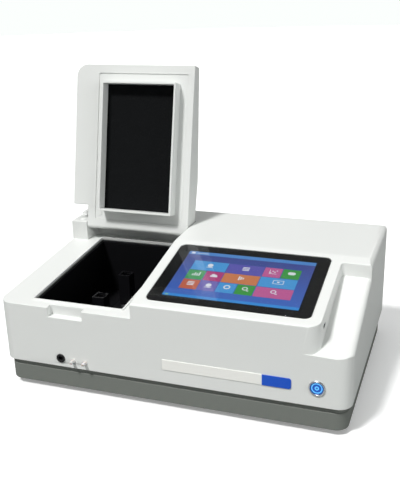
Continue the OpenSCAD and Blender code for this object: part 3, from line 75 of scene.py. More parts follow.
camera = bpy.data.objects.new("camera", bpy.data.cameras.new("camera"))
camera.data.lens = lens_mm
camera.data.sensor_width = film_width_mm
camera.matrix_world = Matrix.Translation(eye) @ turned
bpy.context.scene.collection.objects.link(camera)
bpy.context.scene.camera = camera
bpy.context.scene.view_settings.view_transform = "Standard"


def lamp(name, comes_from, spread, strength, tint, mirrored=True):
    """A distant lamp. Its light comes from a direction, spread over so many degrees."""
    light = bpy.data.lights.new(name, "SUN")
    light.angle = radians(spread)
    light.energy = strength
    light.color = tint
    holder = bpy.data.objects.new(name, light)
    holder.rotation_euler = Vector(comes_from).to_track_quat("Z", "Y").to_euler()
    holder.visible_glossy = mirrored
    bpy.context.scene.collection.objects.link(holder)


lamp("key_lamp", comes_from=(-0.57, -1.15, 2.0), spread=9, strength=2.8,
     tint=(1, 0.995, 0.985))
lamp("right_fill", comes_from=(1.93, -0.90, 0.50), spread=32, strength=0.8,
     tint=(0.985, 1, 0.99), mirrored=False)
lamp("top_fill", comes_from=(0, 0.1, 1), spread=50, strength=0.75,
     tint=(1, 1, 1), mirrored=False)

# The sky is white to the camera, and lights the instrument only a little.
sky_light = 0.15
sky_seen = 1.0
world = bpy.data.worlds.new("studio")
world.use_nodes = True
sky = world.node_tree.nodes["Background"]
sky.inputs["Color"].default_value = (0.97, 1.0, 0.985, 1)
seen = world.node_tree.nodes.new("ShaderNodeLightPath")
bright = world.node_tree.nodes.new("ShaderNodeMapRange")
bright.inputs["To Min"].default_value = sky_light
bright.inputs["To Max"].default_value = sky_seen
world.node_tree.links.new(seen.outputs["Is Camera Ray"], bright.inputs["Value"])
world.node_tree.links.new(bright.outputs["Result"], sky.inputs["Strength"])
bpy.context.scene.world = world


# ---------------------------------------------------------------- table
# The plain pale table top that the instrument stands on. It isn't part of the object.
# In every finish, what changes over the surface comes from a node group.
def paint(red, green, blue):
    """A colour, given as a painter's 0 to 255 values."""
    def linear(value):
        share = value / 255
        return share / 12.92 if share < 0.04045 else ((share + 0.055) / 1.055) ** 2.4

    return (linear(red), linear(green), linear(blue), 1)


def new_group(name, inputs, outputs):
    """A node group and its two ends: what is given to it and what comes out of it."""
    group = bpy.data.node_groups.new(name, "ShaderNodeTree")
    for label, kind, value in inputs:
        socket = group.interface.new_socket(label, in_out="INPUT", socket_type=kind)
        socket.default_value = value
    for label, kind in outputs:
        group.interface.new_socket(label, in_out="OUTPUT", socket_type=kind)
    return group, group.nodes.new("NodeGroupInput"), group.nodes.new("NodeGroupOutput")


def node(tree, kind, **settings):
    """A new node. An input is set by its own name; a sum's inputs are in_0 and in_1."""
    made = tree.nodes.new(kind)
    for name, value in settings.items():
        label = name.replace("_", " ")
        if name.startswith("in_"):
            made.inputs[int(name[3:])].default_value = value
        elif label in made.inputs:
            made.inputs[label].default_value = value
        else:
            setattr(made, name, value)
    return made


def finish_material(name, group, values, feeds, **shader_values):
    """A material whose shader takes what changes over the surface from one group."""
    material = bpy.data.materials.new(name)
    material.use_nodes = True
    tree = material.node_tree
    shader = tree.nodes["Principled BSDF"]
    for label, value in shader_values.items():
        shader.inputs[label.replace("_", " ")].default_value = value
    texture = tree.nodes.new("ShaderNodeGroup")
    texture.node_tree = group
    for label, value in values.items():
        texture.inputs[label].default_value = value
    for output, socket in feeds.items():
        tree.links.new(texture.outputs[output], shader.inputs[socket])
    return material


def deselect():
    for piece in list(bpy.context.selected_objects):
        piece.select_set(False)


clouded, given, result = new_group(
    "table_paint",
    [("Color", "NodeSocketColor", (1, 1, 1, 1))],
    [("Color", "NodeSocketColor"), ("Roughness", "NodeSocketFloat")],
)
place = node(clouded, "ShaderNodeTexCoord")
cloud = node(clouded, "ShaderNodeTexNoise", Scale=3.0)
shade = node(clouded, "ShaderNodeMapRange", To_Min=0.985, To_Max=1.0)
tone = node(clouded, "ShaderNodeMix", data_type="RGBA", blend_type="MULTIPLY", Factor=1.0)
satin = node(clouded, "ShaderNodeMapRange", To_Min=0.55, To_Max=0.65)
link = clouded.links.new
link(place.outputs["Object"], cloud.inputs["Vector"])
link(cloud.outputs["Fac"], shade.inputs["Value"])
link(cloud.outputs["Fac"], satin.inputs["Value"])
link(given.outputs["Color"], tone.inputs["A"])
link(shade.outputs["Result"], tone.inputs["B"])
link(tone.outputs["Result"], result.inputs["Color"])
link(satin.outputs["Result"], result.inputs["Roughness"])
pale_paint = finish_material(
    "pale_table", clouded, {"Color": paint(244, 245, 245)},
    {"Color": "Base Color", "Roughness": "Roughness"},
)
# The camera sees a bright table with a slight glow, but less light comes back from it
# onto the instrument, as in a studio whose light falls only on what is seen.
glow_seen = 0.25
tree = pale_paint.node_tree
link = tree.links.new
table_shader = tree.nodes["Principled BSDF"]
painted = table_shader.inputs["Base Color"].links[0].from_socket
seen = tree.nodes.new("ShaderNodeLightPath")
dimmed = node(tree, "ShaderNodeMix", data_type="RGBA")
dimmed.inputs["A"].default_value = paint(146, 148, 147)
link(seen.outputs["Is Camera Ray"], dimmed.inputs["Factor"])
link(painted, dimmed.inputs["B"])
link(dimmed.outputs["Result"], table_shader.inputs["Base Color"])
glowing = node(tree, "ShaderNodeMapRange", To_Max=glow_seen)
link(seen.outputs["Is Camera Ray"], glowing.inputs["Value"])
link(glowing.outputs["Result"], table_shader.inputs["Emission Strength"])
table_shader.inputs["Emission Color"].default_value = paint(255, 255, 255)

table_radius = 7
deselect()
bpy.ops.mesh.primitive_circle_add(vertices=96, radius=table_radius, fill_type="NGON")
table_top = bpy.context.object
table_top.name = "table_top"
table_top.data.materials.append(pale_paint)


# ---------------------------------------------------------------- upper cover
# One white structural-foam moulding: front, sides, screen slope, lid seat and side tray.
# It drops over the base and is screwed to it from below; its surface is a fine satin grain.
MM = 0.001
SAME_POINT = 0.001 * MM
FLAT_BELOW = radians(0.6)
ROUND_ABOVE = radians(30)
SMOOTH_BELOW = radians(32)
SURFACE = {"Color": "Base Color", "Roughness": "Roughness", "Normal": "Normal"}


def pick(piece):
    deselect()
    piece.select_set(True)
    bpy.context.view_layer.objects.active = piece


def clean_copy(name, cad_node):
    """A CAD node's shape as one mesh of whole faces."""
    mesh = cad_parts[cad_node].data.copy()
    mesh.materials.clear()
    piece = bpy.data.objects.new(name, mesh)
    bpy.context.scene.collection.objects.link(piece)
    pick(piece)
    if mesh.has_custom_normals:
        bpy.ops.mesh.customdata_custom_splitnormals_clear()
    bpy.ops.object.mode_set(mode="EDIT")
    bpy.ops.mesh.select_all(action="SELECT")
    bpy.ops.mesh.remove_doubles(threshold=SAME_POINT)
    bpy.ops.mesh.dissolve_limited(angle_limit=FLAT_BELOW, delimit=set())
    bpy.ops.object.mode_set(mode="OBJECT")
    return piece


def round_edges(piece, width, steps=2):
    """Rounds a piece's sharp edges and shades its flat faces evenly."""
    pick(piece)
    bevel = piece.modifiers.new("rounded_edges", "BEVEL")
    bevel.width = width
    bevel.segments = steps
    bevel.limit_method = "ANGLE"
    bevel.angle_limit = ROUND_ABOVE
    bevel.use_clamp_overlap = False
    bevel.miter_outer = "MITER_ARC"
    bpy.ops.object.modifier_apply(modifier=bevel.name)
    bpy.ops.object.shade_smooth_by_angle(angle=SMOOTH_BELOW)
    even = piece.modifiers.new("even_shading", "WEIGHTED_NORMAL")
    even.keep_sharp = True
    bpy.ops.object.modifier_apply(modifier=even.name)


def settle(piece, body, slot_name, *cad_nodes):
    """Ties a piece to its body and hides the CAD nodes it stands for. Its slot name is not used.
    """
    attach(piece, body)
    if cad_nodes:
        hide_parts(*cad_nodes)


def softened(name, cad_node, body, slot_name, edge, material, steps=2):
    """A moulded or machined piece: the CAD node's own shape with its sharp edges rounded."""
    piece = clean_copy(name, cad_node)
    round_edges(piece, edge, steps)
    piece.data.materials.append(material)
    settle(piece, body, slot_name, cad_node)
    return piece


moulded_grain, given, result = new_group(
    "moulded_grain",
    [
        ("Color", "NodeSocketColor", (0.8, 0.8, 0.8, 1)),
        ("Roughness", "NodeSocketFloat", 0.4),
        ("Grain", "NodeSocketFloat", 1500.0),
        ("Depth", "NodeSocketFloat", 0.1),
        ("Tone", "NodeSocketFloat", 0.02),
        ("Worn Edge", "NodeSocketFloat", 0.03),
    ],
    [
        ("Color", "NodeSocketColor"),
        ("Roughness", "NodeSocketFloat"),
        ("Normal", "NodeSocketVector"),
    ],
)
place = node(moulded_grain, "ShaderNodeTexCoord")
pebbles = node(moulded_grain, "ShaderNodeTexNoise", Detail=3.0, Roughness=0.6)
relief = node(moulded_grain, "ShaderNodeBump", Distance=0.0002)
cloud = node(moulded_grain, "ShaderNodeTexNoise", Scale=9.0, Detail=3.0)
centred = node(moulded_grain, "ShaderNodeMath", operation="SUBTRACT", in_1=0.5)
toned = node(moulded_grain, "ShaderNodeMath", operation="MULTIPLY")
shape = node(moulded_grain, "ShaderNodeNewGeometry")
edge = node(moulded_grain, "ShaderNodeMapRange", From_Min=0.515, From_Max=0.58)
worn = node(moulded_grain, "ShaderNodeMath", operation="MULTIPLY")
both = node(moulded_grain, "ShaderNodeMath", operation="ADD")
level = node(moulded_grain, "ShaderNodeMath", operation="ADD", in_1=1.0)
tinted = node(moulded_grain, "ShaderNodeVectorMath", operation="SCALE")
rub = node(moulded_grain, "ShaderNodeMath", operation="MULTIPLY", in_1=0.16)
satin = node(moulded_grain, "ShaderNodeMath", operation="ADD")
link = moulded_grain.links.new
link(place.outputs["Object"], pebbles.inputs["Vector"])
link(place.outputs["Object"], cloud.inputs["Vector"])
link(given.outputs["Grain"], pebbles.inputs["Scale"])
link(pebbles.outputs["Fac"], relief.inputs["Height"])
link(given.outputs["Depth"], relief.inputs["Strength"])
link(cloud.outputs["Fac"], centred.inputs[0])
link(centred.outputs[0], toned.inputs[0])
link(given.outputs["Tone"], toned.inputs[1])
link(shape.outputs["Pointiness"], edge.inputs["Value"])
link(edge.outputs["Result"], worn.inputs[0])
link(given.outputs["Worn Edge"], worn.inputs[1])
link(toned.outputs[0], both.inputs[0])
link(worn.outputs[0], both.inputs[1])
link(both.outputs[0], level.inputs[0])
link(given.outputs["Color"], tinted.inputs[0])
link(level.outputs[0], tinted.inputs["Scale"])
link(centred.outputs[0], rub.inputs[0])
link(rub.outputs[0], satin.inputs[0])
link(given.outputs["Roughness"], satin.inputs[1])
link(tinted.outputs["Vector"], result.inputs["Color"])
link(satin.outputs[0], result.inputs["Roughness"])
link(relief.outputs["Normal"], result.inputs["Normal"])


def moulded(name, color, roughness, grain, depth, tone=0.02, worn_edge=0.03, **shader_values):
    """A grained plastic, rubber or lacquer: its tone drifts and its edges are rubbed pale."""
    values = {"Color": color, "Roughness": roughness, "Grain": grain, "Depth": depth,
              "Tone": tone, "Worn Edge": worn_edge}
    return finish_material(name, moulded_grain, values, SURFACE, **shader_values)


white_plastic = moulded("white_satin_plastic", paint(229, 231, 229),
                        roughness=0.40, grain=1400, depth=0.10)
cover = softened("cover_moulding", "upper_cover", "casing", "white_plastic",
                 edge=0.9 * MM, material=white_plastic, steps=3)
# Where rounded edges meet at the tray's rear wall, a corner would swing out past the
# moulding's right side; its few points go back onto the side.
right_side = cad_box[1][0]
for vertex in cover.data.vertices:
    vertex.co.x = min(vertex.co.x, right_side)
softened("ear_plug_cap", "ear_plug", "casing", "white_plastic",
         edge=0.3 * MM, material=white_plastic)


# ---------------------------------------------------------------- base tray and feet
# A deep tray in mid-grey textured plastic, a few millimetres smaller than the cover all
# round. Four rubber feet are screwed up into it; the cover's screws pass through it.
def dress(material, *names):
    """Gives CAD nodes their finish."""
    for name in names:
        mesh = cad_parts[name].data
        mesh.materials.clear()
        mesh.materials.append(material)


grey_plastic = moulded("grey_textured_plastic", paint(118, 122, 117),
                       roughness=0.55, grain=900, depth=0.35, tone=0.05, worn_edge=0.06)
foot_rubber = moulded("foot_rubber", paint(34, 34, 35),
                      roughness=0.75, grain=700, depth=0.4, tone=0.12, worn_edge=0.1)
softened("base_moulding", "base_tray", "casing", "grey_plastic",
         edge=0.8 * MM, material=grey_plastic, steps=3)
softened("feet_set", "rubber_feet", "casing", "black_rubber",
         edge=0.8 * MM, material=foot_rubber)
dress(foot_rubber, "bed_mounts")


# ---------------------------------------------------------------- screws and small metal
# Bright zinc screws, the springs of the cell wells and the ground hinge pins. Turned and
# ground steel has fine lines along one direction, which the brushed finish gives.
brushed_metal, given, result = new_group(
    "brushed_metal",
    [
        ("Color", "NodeSocketColor", (0.6, 0.6, 0.62, 1)),
        ("Roughness", "NodeSocketFloat", 0.3),
        ("Stretch", "NodeSocketVector", (20.0, 900.0, 900.0)),
        ("Depth", "NodeSocketFloat", 0.1),
    ],
    [
        ("Color", "NodeSocketColor"),
        ("Roughness", "NodeSocketFloat"),
        ("Normal", "NodeSocketVector"),
    ],
)
place = node(brushed_metal, "ShaderNodeTexCoord")
stretched = node(brushed_metal, "ShaderNodeVectorMath", operation="MULTIPLY")
lines = node(brushed_metal, "ShaderNodeTexNoise", Scale=1.0, Detail=4.0, Roughness=0.65)
relief = node(brushed_metal, "ShaderNodeBump", Distance=0.0001)
streak = node(brushed_metal, "ShaderNodeMapRange", To_Min=0.88, To_Max=1.08)
tinted = node(brushed_metal, "ShaderNodeVectorMath", operation="SCALE")
spread = node(brushed_metal, "ShaderNodeMapRange", To_Min=-0.08, To_Max=0.1)
satin = node(brushed_metal, "ShaderNodeMath", operation="ADD")
link = brushed_metal.links.new
link(place.outputs["Object"], stretched.inputs[0])
link(given.outputs["Stretch"], stretched.inputs[1])
link(stretched.outputs["Vector"], lines.inputs["Vector"])
link(lines.outputs["Fac"], relief.inputs["Height"])
link(given.outputs["Depth"], relief.inputs["Strength"])
link(lines.outputs["Fac"], streak.inputs["Value"])
link(given.outputs["Color"], tinted.inputs[0])
link(streak.outputs["Result"], tinted.inputs["Scale"])
link(lines.outputs["Fac"], spread.inputs["Value"])
link(spread.outputs["Result"], satin.inputs[0])
link(given.outputs["Roughness"], satin.inputs[1])
link(tinted.outputs["Vector"], result.inputs["Color"])
link(satin.outputs[0], result.inputs["Roughness"])
link(relief.outputs["Normal"], result.inputs["Normal"])


def brushed(name, color, roughness, stretch, depth, **shader_values):
    """A metal with fine lines along the direction in which its noise is stretched."""
    values = {"Color": color, "Roughness": roughness, "Stretch": stretch, "Depth": depth}
    return finish_material(name, brushed_metal, values, SURFACE, Metallic=1.0, **shader_values)


ACROSS = (20.0, 900.0, 900.0)
UPWARDS = (900.0, 900.0, 20.0)
EVEN = (300.0, 300.0, 300.0)
screw_steel = brushed("bright_zinc", paint(196, 197, 200),
                      roughness=0.30, stretch=EVEN, depth=0.12)
dress(screw_steel, "foot_screws", "cover_screws", "holder_screws", "hinge_pins", "slit_plates")
spring_steel = brushed("spring_steel", paint(226, 226, 228),
                       roughness=0.18, stretch=UPWARDS, depth=0.08)
dress(spring_steel, "cell_springs")


# ---------------------------------------------------------------- lid
# The lid is a hollow white moulding with a flat inner panel let into it, a raised frame
# that keeps stray light out when it is shut, and nylon bushes for the two hinge pins.
softened("lid_moulding", "lid_shell", "lid", "white_plastic",
         edge=0.9 * MM, material=white_plastic, steps=3)
softened("lid_inner_panel", "lid_panel", "lid", "white_plastic",
         edge=0.5 * MM, material=white_plastic)
softened("light_seal_frame", "lid_seal_frame", "lid", "white_plastic",
         edge=0.6 * MM, material=white_plastic)
softened("lid_stop_boss", "lid_bumper", "lid", "white_plastic",
         edge=0.4 * MM, material=white_plastic)
nylon = moulded("pale_nylon", paint(226, 216, 212),
                roughness=0.35, grain=1600, depth=0.06, tone=0.03, worn_edge=0.02,
                Subsurface_Weight=0.15)
dress(nylon, "hinge_bushes", "hose_nipples")


# ---------------------------------------------------------------- lid foam
# A sheet of black open-cell foam, cut to the inside of the light-seal frame and stuck to
# the inner panel. Its face is slightly uneven and dips a little towards its cut edges.
open_cells, given, result = new_group(
    "open_cells",
    [
        ("Color", "NodeSocketColor", (0.01, 0.01, 0.012, 1)),
        ("Fibre Color", "NodeSocketColor", (0.2, 0.21, 0.22, 1)),
        ("Cells", "NodeSocketFloat", 900.0),
    ],
    [
        ("Color", "NodeSocketColor"),
        ("Roughness", "NodeSocketFloat"),
        ("Normal", "NodeSocketVector"),
    ],
)
place = node(open_cells, "ShaderNodeTexCoord")
cells = node(open_cells, "ShaderNodeTexVoronoi")
dots = node(open_cells, "ShaderNodeTexNoise", Scale=1400.0, Detail=2.0)
rare = node(open_cells, "ShaderNodeMapRange", From_Min=0.68, From_Max=0.82,
            To_Min=0.0, To_Max=0.35)
relief = node(open_cells, "ShaderNodeBump", Strength=0.7, Distance=0.0006)
mixed = node(open_cells, "ShaderNodeMix", data_type="RGBA")
matt = node(open_cells, "ShaderNodeMapRange", To_Min=0.85, To_Max=1.0)
link = open_cells.links.new
link(place.outputs["Object"], cells.inputs["Vector"])
link(place.outputs["Object"], dots.inputs["Vector"])
link(given.outputs["Cells"], cells.inputs["Scale"])
link(cells.outputs["Distance"], relief.inputs["Height"])
link(dots.outputs["Fac"], rare.inputs["Value"])
link(rare.outputs["Result"], mixed.inputs["Factor"])
link(given.outputs["Color"], mixed.inputs["A"])
link(given.outputs["Fibre Color"], mixed.inputs["B"])
link(cells.outputs["Distance"], matt.inputs["Value"])
link(mixed.outputs["Result"], result.inputs["Color"])
link(matt.outputs["Result"], result.inputs["Roughness"])
link(relief.outputs["Normal"], result.inputs["Normal"])
black_foam = finish_material(
    "black_open_cell_foam", open_cells,
    {"Color": paint(9, 11, 13), "Fibre Color": paint(78, 82, 86), "Cells": 900.0}, SURFACE,
    Specular_IOR_Level=0.2,
)

# The open lid leans back, so the sheet's length and thickness are found from its box.
lid_lean = radians(12.9)
foam_low, foam_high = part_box("lid_foam")
foam_size = foam_high - foam_low
square = cos(lid_lean) ** 2 - sin(lid_lean) ** 2
foam_long = (foam_size.z * cos(lid_lean) - foam_size.y * sin(lid_lean)) / square
foam_thick = (foam_size.y * cos(lid_lean) - foam_size.z * sin(lid_lean)) / square
foam_turn = Matrix.Rotation(radians(90) - lid_lean, 4, "X")
foam_place = Matrix.Translation((foam_low + foam_high) / 2) @ foam_turn
grid_across = 68
grid_along = 110
deselect()
bpy.ops.mesh.primitive_grid_add(x_subdivisions=grid_across, y_subdivisions=grid_along, size=1)
foam = bpy.context.object
foam.name = "foam_sheet"
bpy.ops.object.mode_set(mode="EDIT")
bpy.ops.transform.resize(value=(foam_size.x, foam_long, 1))
bpy.ops.object.mode_set(mode="OBJECT")
rim_dip = 0.8 * MM
rim_w = 2.5 * MM
face_inset = 0.5 * MM
back_inset = 0.2 * MM
broad_swell, broad_per_m = 0.35 * MM, 45
fine_swell, fine_per_m = 0.12 * MM, 260
for point in foam.data.vertices:
    rim = min(foam_size.x / 2 - abs(point.co.x), foam_long / 2 - abs(point.co.y))
    dip = rim_dip * max(0, 1 - rim / rim_w) ** 2
    broad = broad_swell * noise.noise(point.co * broad_per_m)
    fine = fine_swell * noise.noise(point.co * fine_per_m)
    point.co.z = foam_thick / 2 - face_inset + (broad + fine) - dip
pick(foam)
thick = foam.modifiers.new("thickness", "SOLIDIFY")
thick.thickness = foam_thick - (face_inset + back_inset)
thick.offset = -1
bpy.ops.object.modifier_apply(modifier=thick.name)
bpy.ops.object.shade_smooth_by_angle(angle=radians(50))
foam.matrix_world = foam_place
bpy.ops.object.transform_apply(location=True, rotation=True, scale=True)
foam.data.materials.append(black_foam)
settle(foam, "lid", "black_foam", "lid_foam")


# ---------------------------------------------------------------- sample compartment
# A black moulded liner stands on the optical bed and shows through the cover's opening.
# The two cell holders are black-anodised blocks, each screwed down with two screws.
liner_plastic = moulded("black_liner_plastic", paint(9, 9, 12),
                        roughness=0.6, grain=1100, depth=0.2, tone=0.1, worn_edge=0.2,
                        Specular_IOR_Level=0.2)
anodised = moulded("black_anodising", paint(13, 13, 16),
                   roughness=0.42, grain=2200, depth=0.08, tone=0.08, worn_edge=0.5,
                   Specular_IOR_Level=0.3)
softened("liner_moulding", "compartment_liner", "casing", "black_plastic",
         edge=0.5 * MM, material=liner_plastic)
softened("sample_holder_block", "sample_cell_holder", "casing", "anodised_black",
         edge=0.25 * MM, material=anodised)
softened("reference_holder_block", "reference_cell_holder", "casing", "anodised_black",
         edge=0.25 * MM, material=anodised)
dress(anodised, "filter_wheel", "monochromator_case", "monochromator_lid")


# ---------------------------------------------------------------- touch screen
# Cover glass with a polished edge, a black border printed on its back, and the lit
# picture of the panel behind it: coloured tiles with plain white signs on a blue ground.
panel_slope = radians(10.8)
front_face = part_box("upper_cover")[0].y
slope_foot = 141 * MM
glass_low, glass_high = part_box("screen_glass")
panel = (
    Matrix.Translation(((glass_low.x + glass_high.x) / 2, front_face, slope_foot))
    @ Matrix.Rotation(panel_slope, 4, "X")
)
glass_w = glass_high.x - glass_low.x
glass_proud = 0.5 * MM
glass_t = 2 * MM
glass_corner = 8.5 * MM
glass_edge = 0.35 * MM
to_panel = panel.inverted()


def on_slope(cad_node):
    """Centre of a CAD node on the slope: distance across and up."""
    low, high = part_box(cad_node)
    middle = to_panel @ ((low + high) / 2)
    return middle.x, middle.y


glass_x, glass_y = on_slope("screen_glass")
glass_h = 137.5 * MM
picture_x, picture_y = on_slope("lcd_panel")
picture_w = 172.8 * MM
picture_h = 108 * MM


def slab(name, x, y, width, height, z, thickness, corner=0, corner_steps=8):
    """A flat plate on the slope with round corners, drawn from a plane."""
    deselect()
    bpy.ops.mesh.primitive_plane_add(size=1)
    plate = bpy.context.object
    plate.name = name
    bpy.ops.object.mode_set(mode="EDIT")
    bpy.ops.transform.resize(value=(width, height, 1))
    bpy.ops.transform.translate(value=(x, y, z))
    if corner:
        bpy.ops.mesh.bevel(offset=corner, segments=corner_steps, affect="VERTICES")
    bpy.ops.mesh.extrude_region_move(TRANSFORM_OT_translate={"value": (0, 0, thickness)})
    bpy.ops.mesh.select_all(action="SELECT")
    bpy.ops.mesh.normals_make_consistent(inside=False)
    bpy.ops.object.mode_set(mode="OBJECT")
    return plate


def lay_on_slope(piece):
    pick(piece)
    piece.matrix_world = panel
    bpy.ops.object.transform_apply(location=True, rotation=True, scale=True)


finger_marks, given, result = new_group(
    "finger_marks",
    [("Roughness", "NodeSocketFloat", 0.03), ("Marks", "NodeSocketFloat", 0.08)],
    [("Roughness", "NodeSocketFloat")],
)
place = node(finger_marks, "ShaderNodeTexCoord")
smear = node(finger_marks, "ShaderNodeTexNoise", Scale=26.0, Detail=6.0, Lacunarity=2.4)
patch = node(finger_marks, "ShaderNodeMapRange", From_Min=0.52, From_Max=0.78)
strength = node(finger_marks, "ShaderNodeMath", operation="MULTIPLY")
total = node(finger_marks, "ShaderNodeMath", operation="ADD")
link = finger_marks.links.new
link(place.outputs["Object"], smear.inputs["Vector"])
link(smear.outputs["Fac"], patch.inputs["Value"])
link(patch.outputs["Result"], strength.inputs[0])
link(given.outputs["Marks"], strength.inputs[1])
link(strength.outputs[0], total.inputs[0])
link(given.outputs["Roughness"], total.inputs[1])
link(total.outputs[0], result.inputs["Roughness"])
screen_material = finish_material(
    "clear_screen_glass", finger_marks, {"Roughness": 0.02, "Marks": 0.05},
    {"Roughness": "Roughness"}, Transmission_Weight=1.0, IOR=1.22,
)
border_ink = moulded("black_border_ink", paint(7, 8, 10),
                     roughness=0.5, grain=2000, depth=0.02, tone=0.05, worn_edge=0.0)

glass_slack = 0.1 * MM
glass_back = glass_proud - glass_t + 0.35 * MM
glass = slab("screen_cover_glass", glass_x, glass_y, glass_w - glass_slack,
             glass_h - glass_slack, glass_back, glass_proud - glass_back, glass_corner)
glass.data.materials.append(screen_material)
round_edges(glass, glass_edge, 3)
lay_on_slope(glass)
settle(glass, "casing", "screen_black_glass", "screen_glass")

ink_z = glass_back - 0.15 * MM
ink_t = 0.1 * MM
ink_inset = 0.6 * MM
window_corner = 0.8 * MM
border = slab("screen_border_print", glass_x, glass_y, glass_w - ink_inset,
              glass_h - ink_inset, ink_z, ink_t, glass_corner)
window = slab("window_cutter", picture_x, picture_y, picture_w, picture_h,
              ink_z - ink_t, 3 * ink_t, window_corner, corner_steps=3)
pick(border)
cut = border.modifiers.new("window", "BOOLEAN")
cut.object = window
cut.operation = "DIFFERENCE"
bpy.ops.object.modifier_apply(modifier=cut.name)
bpy.data.objects.remove(window)
border.data.materials.append(border_ink)
lay_on_slope(border)
settle(border, "casing", "screen_black_glass", "screen_glass")


# ---------------------------------------------------------------- lit picture
# What the panel shows: a start page of thirteen coloured tiles in three rows, each with
# a plain white sign, between a pale bar at the top and another at the bottom.
lit_dots, given, result = new_group(
    "lit_dots",
    [("Pitch", "NodeSocketFloat", 0.135), ("Contrast", "NodeSocketFloat", 0.12)],
    [("Color", "NodeSocketColor")],
)
tint = node(lit_dots, "ShaderNodeAttribute", attribute_name="tint")
place = node(lit_dots, "ShaderNodeTexCoord")
per_mm = node(lit_dots, "ShaderNodeMath", operation="DIVIDE", in_0=1000.0)
counted = node(lit_dots, "ShaderNodeVectorMath", operation="SCALE")
within = node(lit_dots, "ShaderNodeVectorMath", operation="FRACTION")
apart = node(lit_dots, "ShaderNodeSeparateXYZ")
gap = node(lit_dots, "ShaderNodeMath", operation="LESS_THAN", in_1=0.18)
dark = node(lit_dots, "ShaderNodeMath", operation="MULTIPLY")
light = node(lit_dots, "ShaderNodeMath", operation="SUBTRACT", in_0=1.0)
shown = node(lit_dots, "ShaderNodeVectorMath", operation="SCALE")
link = lit_dots.links.new
link(given.outputs["Pitch"], per_mm.inputs[1])
link(place.outputs["Object"], counted.inputs[0])
link(per_mm.outputs[0], counted.inputs["Scale"])
link(counted.outputs["Vector"], within.inputs[0])
link(within.outputs["Vector"], apart.inputs[0])
link(apart.outputs["X"], gap.inputs[0])
link(gap.outputs[0], dark.inputs[0])
link(given.outputs["Contrast"], dark.inputs[1])
link(dark.outputs[0], light.inputs[1])
link(tint.outputs["Color"], shown.inputs[0])
link(light.outputs[0], shown.inputs["Scale"])
link(shown.outputs["Vector"], result.inputs["Color"])
lit_picture = finish_material(
    "lit_picture", lit_dots, {"Pitch": 0.135, "Contrast": 0.10}, {"Color": "Emission Color"},
    Base_Color=(0.01, 0.01, 0.012, 1), Roughness=0.5, Emission_Strength=0.95,
)

picture_z = glass_proud - glass_t + 0.02 * MM
tile_t = 0.03 * MM
picture_parts = []


def tinted_part(part, color, top_color=None):
    """Gives a part of the picture its colour, or a fade from one colour up to another."""
    mesh = part.data
    layer = mesh.color_attributes.new("tint", "FLOAT_COLOR", "POINT")
    for point, value in zip(mesh.vertices, layer.data):
        share = (point.co.y - picture_y) / picture_h + 0.5 if top_color else 0
        last = top_color or color
        value.color = [low + (high - low) * share for low, high in zip(color, last)]
    picture_parts.append(part)


def picture_block(left, bottom, width, height, layer, color, top_color=None, corner=0.0):
    """A block of colour on a layer; its place and size are shares of the picture's."""
    x = picture_x + (left + width / 2 - 0.5) * picture_w
    y = picture_y + (bottom + height / 2 - 0.5) * picture_h
    part = slab("block", x, y, width * picture_w, height * picture_h,
                picture_z + layer * tile_t, tile_t, corner, corner_steps=3)
    tinted_part(part, color, top_color)


# Each sign is drawn round a centre, from bars and discs in shares of its size s.
def sign_bar(x, y, width, height):
    corner = min(width, height) * 0.2
    part = slab("sign", x, y, width, height, sign_z, tile_t, corner, corner_steps=2)
    tinted_part(part, sign_white)


def sign_disc(x, y, radius, hole=0.0):
    deselect()
    bpy.ops.mesh.primitive_circle_add(vertices=20, radius=radius, fill_type="NGON")
    part = bpy.context.object
    bpy.ops.object.mode_set(mode="EDIT")
    if hole:
        bpy.ops.mesh.inset(thickness=radius - hole, depth=0)
        bpy.ops.mesh.delete(type="FACE")
        bpy.ops.mesh.select_all(action="SELECT")
    bpy.ops.transform.translate(value=(x, y, sign_z))
    bpy.ops.mesh.extrude_region_move(TRANSFORM_OT_translate={"value": (0, 0, tile_t)})
    bpy.ops.mesh.select_all(action="SELECT")
    bpy.ops.mesh.normals_make_consistent(inside=False)
    bpy.ops.object.mode_set(mode="OBJECT")
    tinted_part(part, sign_white)


def sign_ring(x, y, s):
    sign_disc(x, y, 0.5 * s, 0.3 * s)


def sign_cup(x, y, s):
    sign_disc(x, y, 0.42 * s)
    sign_bar(x, y - 0.55 * s, 1.0 * s, 0.14 * s)


def sign_list(x, y, s):
    for row in (-1, 0, 1):
        sign_bar(x, y + 0.34 * row * s, 1.0 * s, 0.2 * s)


def sign_columns(x, y, s):
    for step, tall in enumerate((0.45, 0.8, 0.6, 1.0)):
        sign_bar(x + (step - 1.5) * 0.32 * s, y + (tall / 2 - 0.5) * s, 0.2 * s, tall * s)


def sign_curve(x, y, s):
    sign_bar(x - 0.5 * s, y, 0.1 * s, 1.0 * s)
    sign_bar(x, y - 0.5 * s, 1.1 * s, 0.1 * s)
    for step, high in enumerate((-0.25, 0.15, -0.05, 0.3)):
        sign_disc(x + (step - 1.2) * 0.28 * s, y + high * s, 0.12 * s)


def sign_oval(x, y, s):
    sign_disc(x - 0.2 * s, y, 0.36 * s)
    sign_disc(x + 0.2 * s, y, 0.36 * s)
    sign_bar(x, y, 0.5 * s, 0.7 * s)


def sign_cloud(x, y, s):
    sign_bar(x, y - 0.22 * s, 1.1 * s, 0.36 * s)
    sign_disc(x - 0.12 * s, y + 0.08 * s, 0.3 * s)
    sign_disc(x + 0.24 * s, y, 0.22 * s)


def sign_play(x, y, s):
    for step, tall in enumerate((1.0, 0.7, 0.4)):
        sign_bar(x + (step - 1) * 0.3 * s, y, 0.2 * s, tall * s)


